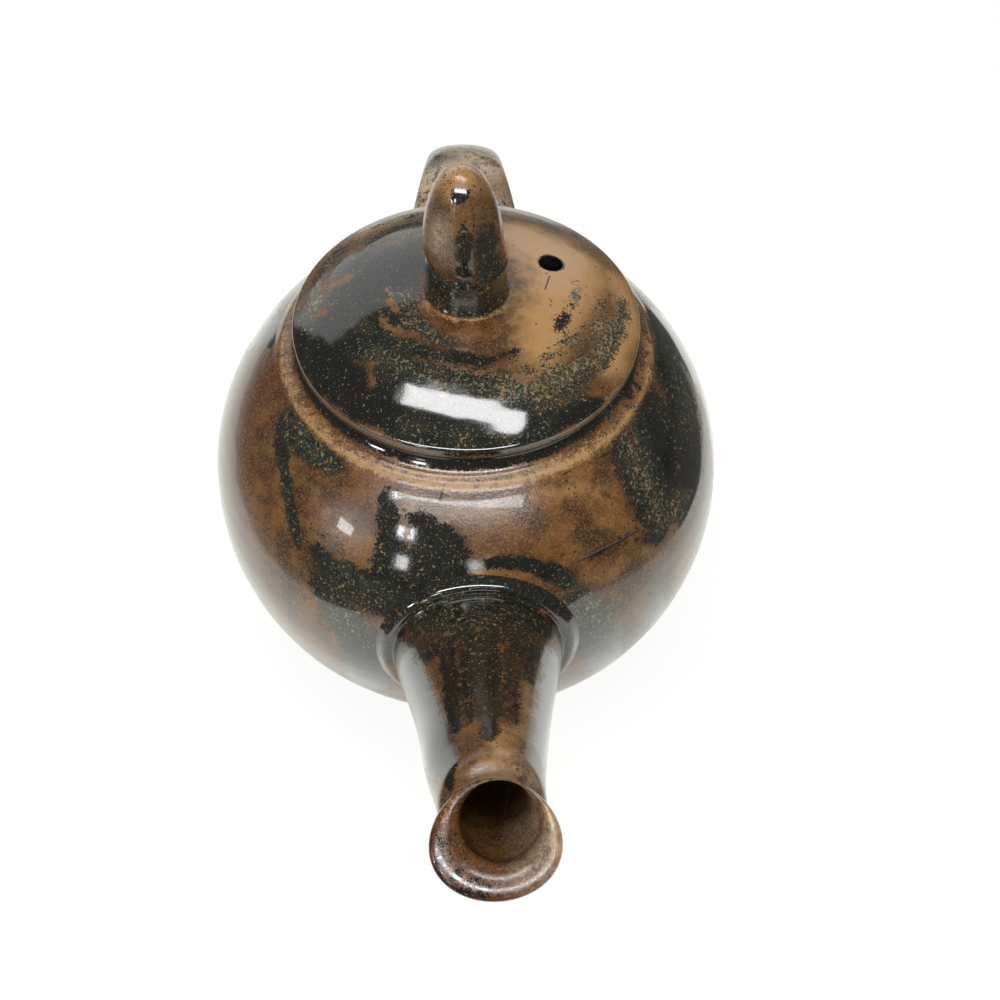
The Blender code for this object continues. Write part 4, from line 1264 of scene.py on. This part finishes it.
class TEAPOT_OT_throw_lid(bpy.types.Operator):
    """Throw the lid, roll its edge and pierce the steam hole"""

    bl_idname = "teapot.throw_lid"
    bl_label = "Throw the lid"

    def execute(self, context):
        clay = context.scene.teapot_clay
        edge_top = LID_UNDERSIDE + clay.lid_edge_height
        dome = []
        reach = LID_RADIUS - 0.0004 - LID_LAND_RADIUS
        for step in range(64):
            radius = LID_LAND_RADIUS + reach * math.sin(math.pi / 2 * step / 64)
            dome.append((radius, lid_height(radius)))
        edge = rounded(
            [
                dome[-1],
                (LID_RADIUS, edge_top - 0.0002),
                (LID_RADIUS, LID_UNDERSIDE + 0.0006),
                (LID_RADIUS - 0.0009, LID_UNDERSIDE),
                (FLANGE_RADIUS - 0.0004, LID_UNDERSIDE),
            ],
            0.0007,
            6,
        )
        hollow_radius = FLANGE_RADIUS - clay.flange_wall
        rise = LID_TOP - clay.lid_thickness - LID_UNDERSIDE
        hollow = []
        for step in range(16):
            angle = math.pi / 2 * step / 16
            hollow.append((hollow_radius * math.cos(angle), LID_UNDERSIDE + rise * math.sin(angle)))
        hollow.append((0, LID_UNDERSIDE + rise))
        land = [(LID_LAND_RADIUS * share, LID_TOP) for share in (0, 0.4, 0.8)]
        underside = dense([edge[-1], hollow[0]], 0.0015)
        piece = thrown("lid_dome", [*land, *dome, *edge[1:], *underside[1:], *hollow[1:]], LID_TURNS)
        set_by_hand(piece, self.hand_mark)
        cut_out(piece, self.hole_cutter(clay.steam_hole_radius))

        places = places_of(piece)
        height = places[:, 2]
        away = np.hypot(places[:, 0], places[:, 1])
        below_dome = np.array([lid_height(radius) for radius in away]) - SKIN
        from_hole = np.hypot(places[:, 0] - STEAM_HOLE_PLACE[0], places[:, 1] - STEAM_HOLE_PLACE[1])
        by_hole = from_hole < HOLE_SURROUND
        under = height < np.minimum(below_dome, LID_UNDERSIDE + 0.0002 + (away < LID_RADIUS - 0.0012) * 0.02)
        under &= (away < LID_RADIUS - 0.0008) & ~by_hole
        turn = np.degrees(np.arctan2(places[:, 0], -places[:, 1]))
        ring = near_to(away, LAND_RING, LAND_RING_REACH) * np.where((turn > -130) & (turn < 60), 1.0, 0.5)
        rim = near_to(height, edge_top, 0.0008) * (away > LID_RADIUS - 0.0012)
        # Painted shade: the steam hole's wall and edge are painted black, with some rust, for the dark inside
        # of the hole
        bore = held(1 - (from_hole - 0.0026) / 0.0006)
        bore[by_hole & (height < below_dome)] = 1
        covers = brushed_glazes(
            places,
            lid_point,
            windows=LID_WINDOWS,
            black=LID_BLACK,
            tan=LID_TAN,
            rust=LID_RUST,
            specks=LID_SPECKS,
        )
        covers["black"] = np.where(under, 0, np.maximum(covers["black"], bore))
        covers["rust"] = np.maximum(covers["rust"], bore * 0.6)
        covers["gold"] = np.where(under, 0, np.maximum(ring * 0.62, rim * 0.5))
        covers["bare"] = np.where(under, 1, 0)
        paint(piece, covers)
        glaze = glaze_material("lid_glaze", cracks=LID_CRACKS, ringed=True)
        finish_piece(piece, glaze, "lid", "brown_glaze", "lid_cover")
        return {"FINISHED"}

    @staticmethod
    def hand_mark(place):
        """Waves in the dome and faint rings, calm at the edge and below."""
        clay = bpy.context.scene.teapot_clay
        away = math.hypot(place.x, place.y)
        on_top = place.z > lid_height(away) - 0.0012
        if not on_top or away < LID_LAND_RADIUS * 0.9:
            return Vector()
        turn = math.atan2(place.x, place.y)
        ring = math.sin(away / LID_RING_SPACING * math.tau + turn) * clay.throwing_rings
        wave = wobble(place + Vector((0, 0, 0.11))) * 0.7
        wave += 0.00005 * hand_noise(place + Vector((0, 0, 0.55)), 0.0085)
        wave += 0.000016 * hand_noise(place + Vector((0, 0, 0.7)), 0.0032)
        return Vector((0, 0, wave + ring))

    @staticmethod
    def hole_cutter(radius):
        """A rod with flared ends, so that the hole's edges are eased."""
        top = lid_height(math.hypot(*STEAM_HOLE_PLACE))
        flare = [(radius * share, top + rise) for share, rise in HOLE_FLARE]
        cutter = thrown("steam_hole", [(0, flare[0][1]), *flare, (0, flare[-1][1])], 48)
        cutter.location = (*STEAM_HOLE_PLACE, 0)
        active_only(cutter)
        bpy.ops.object.transform_apply(location=True, rotation=True, scale=True)
        return cutter


class TEAPOT_OT_turn_flange(bpy.types.Operator):
    """Turn the ring below the lid that drops into the mouth"""

    bl_idname = "teapot.turn_flange"
    bl_label = "Turn the flange"

    def execute(self, context):
        inner = FLANGE_RADIUS - context.scene.teapot_clay.flange_wall
        top = LID_UNDERSIDE + 0.0004
        outline = rounded(
            [
                (inner, top),
                (FLANGE_RADIUS, top),
                (FLANGE_RADIUS, FLANGE_LOW + 0.0017),
                (inner + 0.0017, FLANGE_LOW),
                (inner, FLANGE_LOW + 0.0006),
                (inner, top),
            ],
            0.0008,
        )
        piece = thrown("lid_ring", dense(outline, 0.0015), RING_TURNS)
        set_by_hand(piece, swell_round(0.02, 0.0015))
        finish_piece(piece, shared_clay(), "lid", "bare_clay", "lid_flange")
        return {"FINISHED"}


# Flat sides that the fingers pressed into the knob: degrees round, and how near the axis each lies as a share
KNOB_FLATS = [(-50, 0.88), (40, 0.88), (112, 0.93), (-128, 0.93), (-176, 0.95)]
# How full the cap's outline is: 2 is an ellipse, and more is squarer
KNOB_FULLNESS = 2.2
# How far the cap stands to the left, and how much further its tip leans
KNOB_SHIFT, KNOB_LEAN = 0.0007, 0.0003
# The drop of black near the cap's tip
KNOB_DROP, KNOB_DROP_REACH = (-0.0014, -0.0044, 0.1418), 0.0030


class TEAPOT_OT_shape_knob(bpy.types.Operator):
    """Turn the bullet-shaped knob and press its sides a little flat"""

    bl_idname = "teapot.shape_knob"
    bl_label = "Shape the knob"

    def execute(self, context):
        clay = context.scene.teapot_clay
        stem = clay.knob_stem_radius
        brim = KNOB_FOOT + clay.knob_stem_height
        cap_height = KNOB_TOP - brim
        outline = [
            (0, KNOB_FOOT - 0.0004),
            (stem + 0.0006, KNOB_FOOT - 0.0004),
            (stem + 0.0002, KNOB_FOOT + 0.0006),
            (stem, KNOB_FOOT + 0.0025),
            (stem, brim - 0.0035),
            (stem, brim - 0.0008),
            (KNOB_RADIUS - 0.0002, brim - 0.0001),
            (KNOB_RADIUS, brim + 0.0008),
        ]
        cap = []
        for step in range(3, 40):
            share = math.sin(math.pi / 2 * step / 40)
            radius = KNOB_RADIUS * (1 - share**KNOB_FULLNESS) ** (1 / KNOB_FULLNESS)
            cap.append((radius, brim + cap_height * share))
        outline = [*dense(rounded(outline, 0.0006), 0.0006), *cap, (0, KNOB_TOP)]
        piece = thrown("lid_knob", outline, KNOB_TURNS)
        set_by_hand(piece, self.press(brim, cap_height))

        places = places_of(piece)
        height = (places[:, 2] - KNOB_FOOT) / (KNOB_TOP - KNOB_FOOT)
        turn = np.arctan2(places[:, 0], -places[:, 1])
        sway = noise_at(places, 0.006)
        above_brim = held((height - 0.33) * 9)
        low = held(0.5 + (0.31 + sway * 0.04 - height) * 9)
        # Painted sheen: the cap's pale left facet stands in for the lamps' reflection, painted with pale
        # bloom and less black
        left = held(1.5 - np.abs(turn + 0.80) * 2.6) * above_brim * held((0.82 - height) * 6)
        edge = np.clip((np.abs(turn) - 1.15) * 1.6, 0, 0.6) * above_brim
        streak = held(0.5 + (0.24 - np.abs(turn + 0.08)) * 2.6) * held((0.80 - height) * 6)
        right = 0.74 * held(1.6 - np.abs(turn - 0.6) * 2.2) * held((0.76 - height) * 6)
        drop = near_to(np.linalg.norm(places - np.array(KNOB_DROP), axis=1), 0, KNOB_DROP_REACH)
        # On the left facet the black is thinned and the pale bloom raised as painted sheen
        covers = {
            "black": np.max([low, streak * 0.85, right, drop, 0.30 - 0.25 * left], axis=0),
            "tan": np.clip((height - 0.6) * 2.0 + sway * 0.5, 0, 0.8),
            "rust": np.minimum(near_to(height, 0.2, 0.25), 0.7),
            "specks": held(0.45 - height * 0.4),
            "gold": np.clip((height - 0.93) * 9, 0, 0.45),
            "dry": np.maximum(left * 0.55, edge),
            "bloom_and_sheen": np.maximum(left * 0.48, edge),
        }
        paint(piece, covers)
        finish_piece(piece, glaze_material("knob_glaze"), "lid", "brown_glaze", "knob", angle=60)
        return {"FINISHED"}

    @staticmethod
    def press(brim, cap_height):
        """Flatten the cap's sides and lean its tip a little to the left."""

        def move(place):
            share = (place.z - brim) / cap_height
            away = math.hypot(place.x, place.y)
            if share < 0 or away < WELD:
                return Vector((0, 0, 0))
            turn = math.atan2(place.x, -place.y)
            firm = min(1, share / 0.12) * min(1, max(0, (0.95 - share) / 0.35))
            kept = 1.0
            for degrees, depth in KNOB_FLATS:
                facing = math.cos(turn - math.radians(degrees))
                if facing > 0:
                    kept = min(kept, depth / max(facing, depth))
            shrink = (kept - 1) * firm
            lean = -KNOB_SHIFT * min(1, share / 0.2) - KNOB_LEAN * share * share
            swell = 0.00006 * hand_noise(place, 0.005)
            return Vector((place.x * shrink + lean, place.y * shrink, swell))

        return move


class TEAPOT_OT_finish_strainer(bpy.types.Operator):
    """Give the pierced strainer its clay"""

    bl_idname = "teapot.finish_strainer"
    bl_label = "Finish the strainer"

    def execute(self, context):
        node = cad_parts["strainer"]
        node.data.materials.clear()
        node.data.materials.append(shared_clay())
        return {"FINISHED"}


# The stage: what the photographer stood the pot on

# Corners of the white sheet: front left, front right, back left and back right
SHEET = [(-0.095, -0.185), (0.165, -0.200), (-0.340, 0.430), (0.150, 0.430)]
# What the pot stands on: name, size, height, how much light it throws back, and how much white is drawn on it
TABLES = [("wide_table", 4.0, -0.0004, 0.10, 1.0), ("white_sheet", 0.4, 0, 0.86, 0.86)]
# What the lamps face, the dim room that shows in the glaze and the soft light that falls on the clay
LAMP_TARGET = Vector((0, 0, 0.08))
ROOM_SHINE = (0.13, 0.14, 0.135)
ROOM_LIGHT = (0.40, 0.40, 0.40)
# The camera: degrees down, rolled and aside, its focal length and half its frame in pixels, where the globe's
# middle shows in the frame, and how far away that is, in metres
CAMERA_TURNS = (52.5, 1.65, -4.6)
FOCAL_LENGTH = 1346
HALF_FRAME = 500
GLOBE_IN_FRAME = (467.1, 463.9)
GLOBE_DISTANCE = 0.3306


def camera_matrix():
    """The camera's place and directions, from its tilt, roll and distance to the globe's middle."""
    tilt, roll, side = map(math.radians, CAMERA_TURNS)
    ahead = Vector((-math.sin(side) * math.cos(tilt), math.cos(side) * math.cos(tilt), -math.sin(tilt)))
    right = Vector((math.cos(side), math.sin(side), 0))
    down = ahead.cross(right)
    turned_right = right * math.cos(roll) - down * math.sin(roll)
    turned_down = right * math.sin(roll) + down * math.cos(roll)
    aside, below = [(pixel - HALF_FRAME) / FOCAL_LENGTH for pixel in GLOBE_IN_FRAME]
    to_globe = Vector((aside, below, 1)).normalized() * GLOBE_DISTANCE
    offset = turned_right * to_globe.x + turned_down * to_globe.y + ahead * to_globe.z
    matrix = Matrix((turned_right, -turned_down, -ahead)).transposed().to_4x4()
    matrix.translation = GLOBE_CENTRE - offset
    return matrix


class TEAPOT_OT_set_stage(bpy.types.Operator):
    """Lay the white table, hang the lamps and place the camera"""

    bl_idname = "teapot.set_stage"
    bl_label = "Set the stage"

    def execute(self, context):
        studio = context.scene.teapot_studio
        self.table(studio)
        self.lamp("overhead_panel", (-0.02, -0.14, 1.0), (0.80, 0.20), studio.overhead, -14)
        self.lamp("front_panel", (-0.10, -0.74, 0.63), (1.0, 0.14), studio.front)
        self.lamp("small_panel_left", (-0.36, -0.66, 0.27), (0.09, 0.06), studio.front * 0.95)
        self.lamp("small_panel_low", (-0.64, -0.48, 0.145), (0.10, 0.07), studio.front * 1.7)
        self.lamp("small_panel_floor", (-0.37, -0.70, 0.09), (0.06, 0.06), studio.front * 0.5)
        self.lamp("back_card", (-0.10, 0.62, 0.34), (1.1, 0.50), studio.card)
        self.surroundings(context.scene)
        camera = bpy.data.objects.new("camera", bpy.data.cameras.new("camera"))
        context.scene.collection.objects.link(camera)
        camera.data.sensor_width = 36
        camera.data.angle = 2 * math.atan(HALF_FRAME / FOCAL_LENGTH)
        camera.data.clip_start = 0.01
        camera.matrix_world = camera_matrix()
        context.scene.camera = camera
        context.scene.view_settings.view_transform = "Standard"
        return {"FINISHED"}

    @staticmethod
    def lamp(name, place, size, radiance, turn=0):
        """A flat lamp that faces the pot, with its brightness as a colour is seen."""
        light = bpy.data.lights.new(name, "AREA")
        light.shape = "RECTANGLE"
        light.size, light.size_y = size
        light.energy = radiance * math.pi * size[0] * size[1]
        lamp = bpy.data.objects.new(name, light)
        bpy.context.scene.collection.objects.link(lamp)
        place = LAMP_TARGET + Vector(place)
        facing = (LAMP_TARGET - place).to_track_quat("-Z", "Y").to_matrix().to_4x4()
        lamp.matrix_world = Matrix.Translation(place) @ facing @ Matrix.Rotation(math.radians(turn), 4, "Z")
        lamp.visible_camera = False

    @staticmethod
    def table(studio):
        """A white sheet on a wider table: both are drawn white, but only the sheet lights the pot."""
        for name, size, level, white, drawn_over in TABLES:
            bpy.ops.object.select_all(action="DESELECT")
            bpy.ops.mesh.primitive_plane_add(size=size, location=(0, 0, level))
            table = bpy.context.object
            table.name = name
            bpy.ops.object.transform_apply(location=True, rotation=True, scale=True)
            if name == "white_sheet":
                for vert, corner in zip(table.data.vertices, SHEET):
                    vert.co = (*corner, 0)
            material, board = new_material(name)
            path = board.add("ShaderNodeLightPath", output="Is Camera Ray")
            lit = board.add("ShaderNodeBsdfDiffuse", inputs={"Color": (white * 0.98, white, white * 0.94, 1)})
            inputs = {"Color": (1, 1, 1, 1), "Strength": studio.sheet_white}
            drawn = board.add("ShaderNodeEmission", inputs=inputs)
            shader = board.add("ShaderNodeMixShader", inputs={0: path * drawn_over, 1: lit, 2: drawn})
            board.add("ShaderNodeOutputMaterial", inputs={"Surface": shader})
            table.data.materials.append(material)

    @staticmethod
    def surroundings(scene):
        """White to the camera, a dim room to the glaze and soft light to the clay."""
        world = bpy.data.worlds.new("room")
        scene.world = world
        board = Board(world)
        seen = board.add("ShaderNodeLightPath", output="Is Camera Ray")
        shine = board.add("ShaderNodeLightPath", output="Is Glossy Ray")
        room = board.mix(shine, ROOM_LIGHT, ROOM_SHINE)
        room = board.mix(seen, room, (1, 1, 1))
        light = board.add("ShaderNodeBackground", inputs={"Color": room, "Strength": 1.0})
        board.add("ShaderNodeOutputWorld", inputs={"Surface": light})


class TEAPOT_PT_pieces(bpy.types.Panel):
    """Lists the pieces and their sizes, colours and lamps"""

    bl_idname = "TEAPOT_PT_pieces"
    bl_label = "Stoneware teapot"
    bl_space_type = "VIEW_3D"
    bl_region_type = "UI"
    bl_category = "Teapot"

    def draw(self, context):
        for operator in OPERATORS:
            self.layout.operator(operator.bl_idname)
        for group in (context.scene.teapot_clay, context.scene.teapot_glazes, context.scene.teapot_studio):
            box = self.layout.box()
            for key in group.__annotations__:
                box.prop(group, key)


OPERATORS = (
    TEAPOT_OT_throw_globe,
    TEAPOT_OT_turn_foot,
    TEAPOT_OT_pull_spout,
    TEAPOT_OT_pull_handle,
    TEAPOT_OT_throw_lid,
    TEAPOT_OT_turn_flange,
    TEAPOT_OT_shape_knob,
    TEAPOT_OT_finish_strainer,
    TEAPOT_OT_set_stage,
)
CLASSES = (TeapotClay, TeapotGlazes, TeapotStudio, *OPERATORS, TEAPOT_PT_pieces)


def register():
    for cls in CLASSES:
        bpy.utils.register_class(cls)
    bpy.types.Scene.teapot_clay = bpy.props.PointerProperty(type=TeapotClay)
    bpy.types.Scene.teapot_glazes = bpy.props.PointerProperty(type=TeapotGlazes)
    bpy.types.Scene.teapot_studio = bpy.props.PointerProperty(type=TeapotStudio)


def unregister():
    for name in ("teapot_clay", "teapot_glazes", "teapot_studio"):
        delattr(bpy.types.Scene, name)
    for cls in reversed(CLASSES):
        bpy.utils.unregister_class(cls)


def main():
    register()
    bpy.ops.teapot.throw_globe()
    bpy.ops.teapot.turn_foot()
    bpy.ops.teapot.pull_spout()
    bpy.ops.teapot.pull_handle()
    bpy.ops.teapot.throw_lid()
    bpy.ops.teapot.turn_flange()
    bpy.ops.teapot.shape_knob()
    bpy.ops.teapot.finish_strainer()
    bpy.ops.teapot.set_stage()


if __name__ == "__main__":
    main()
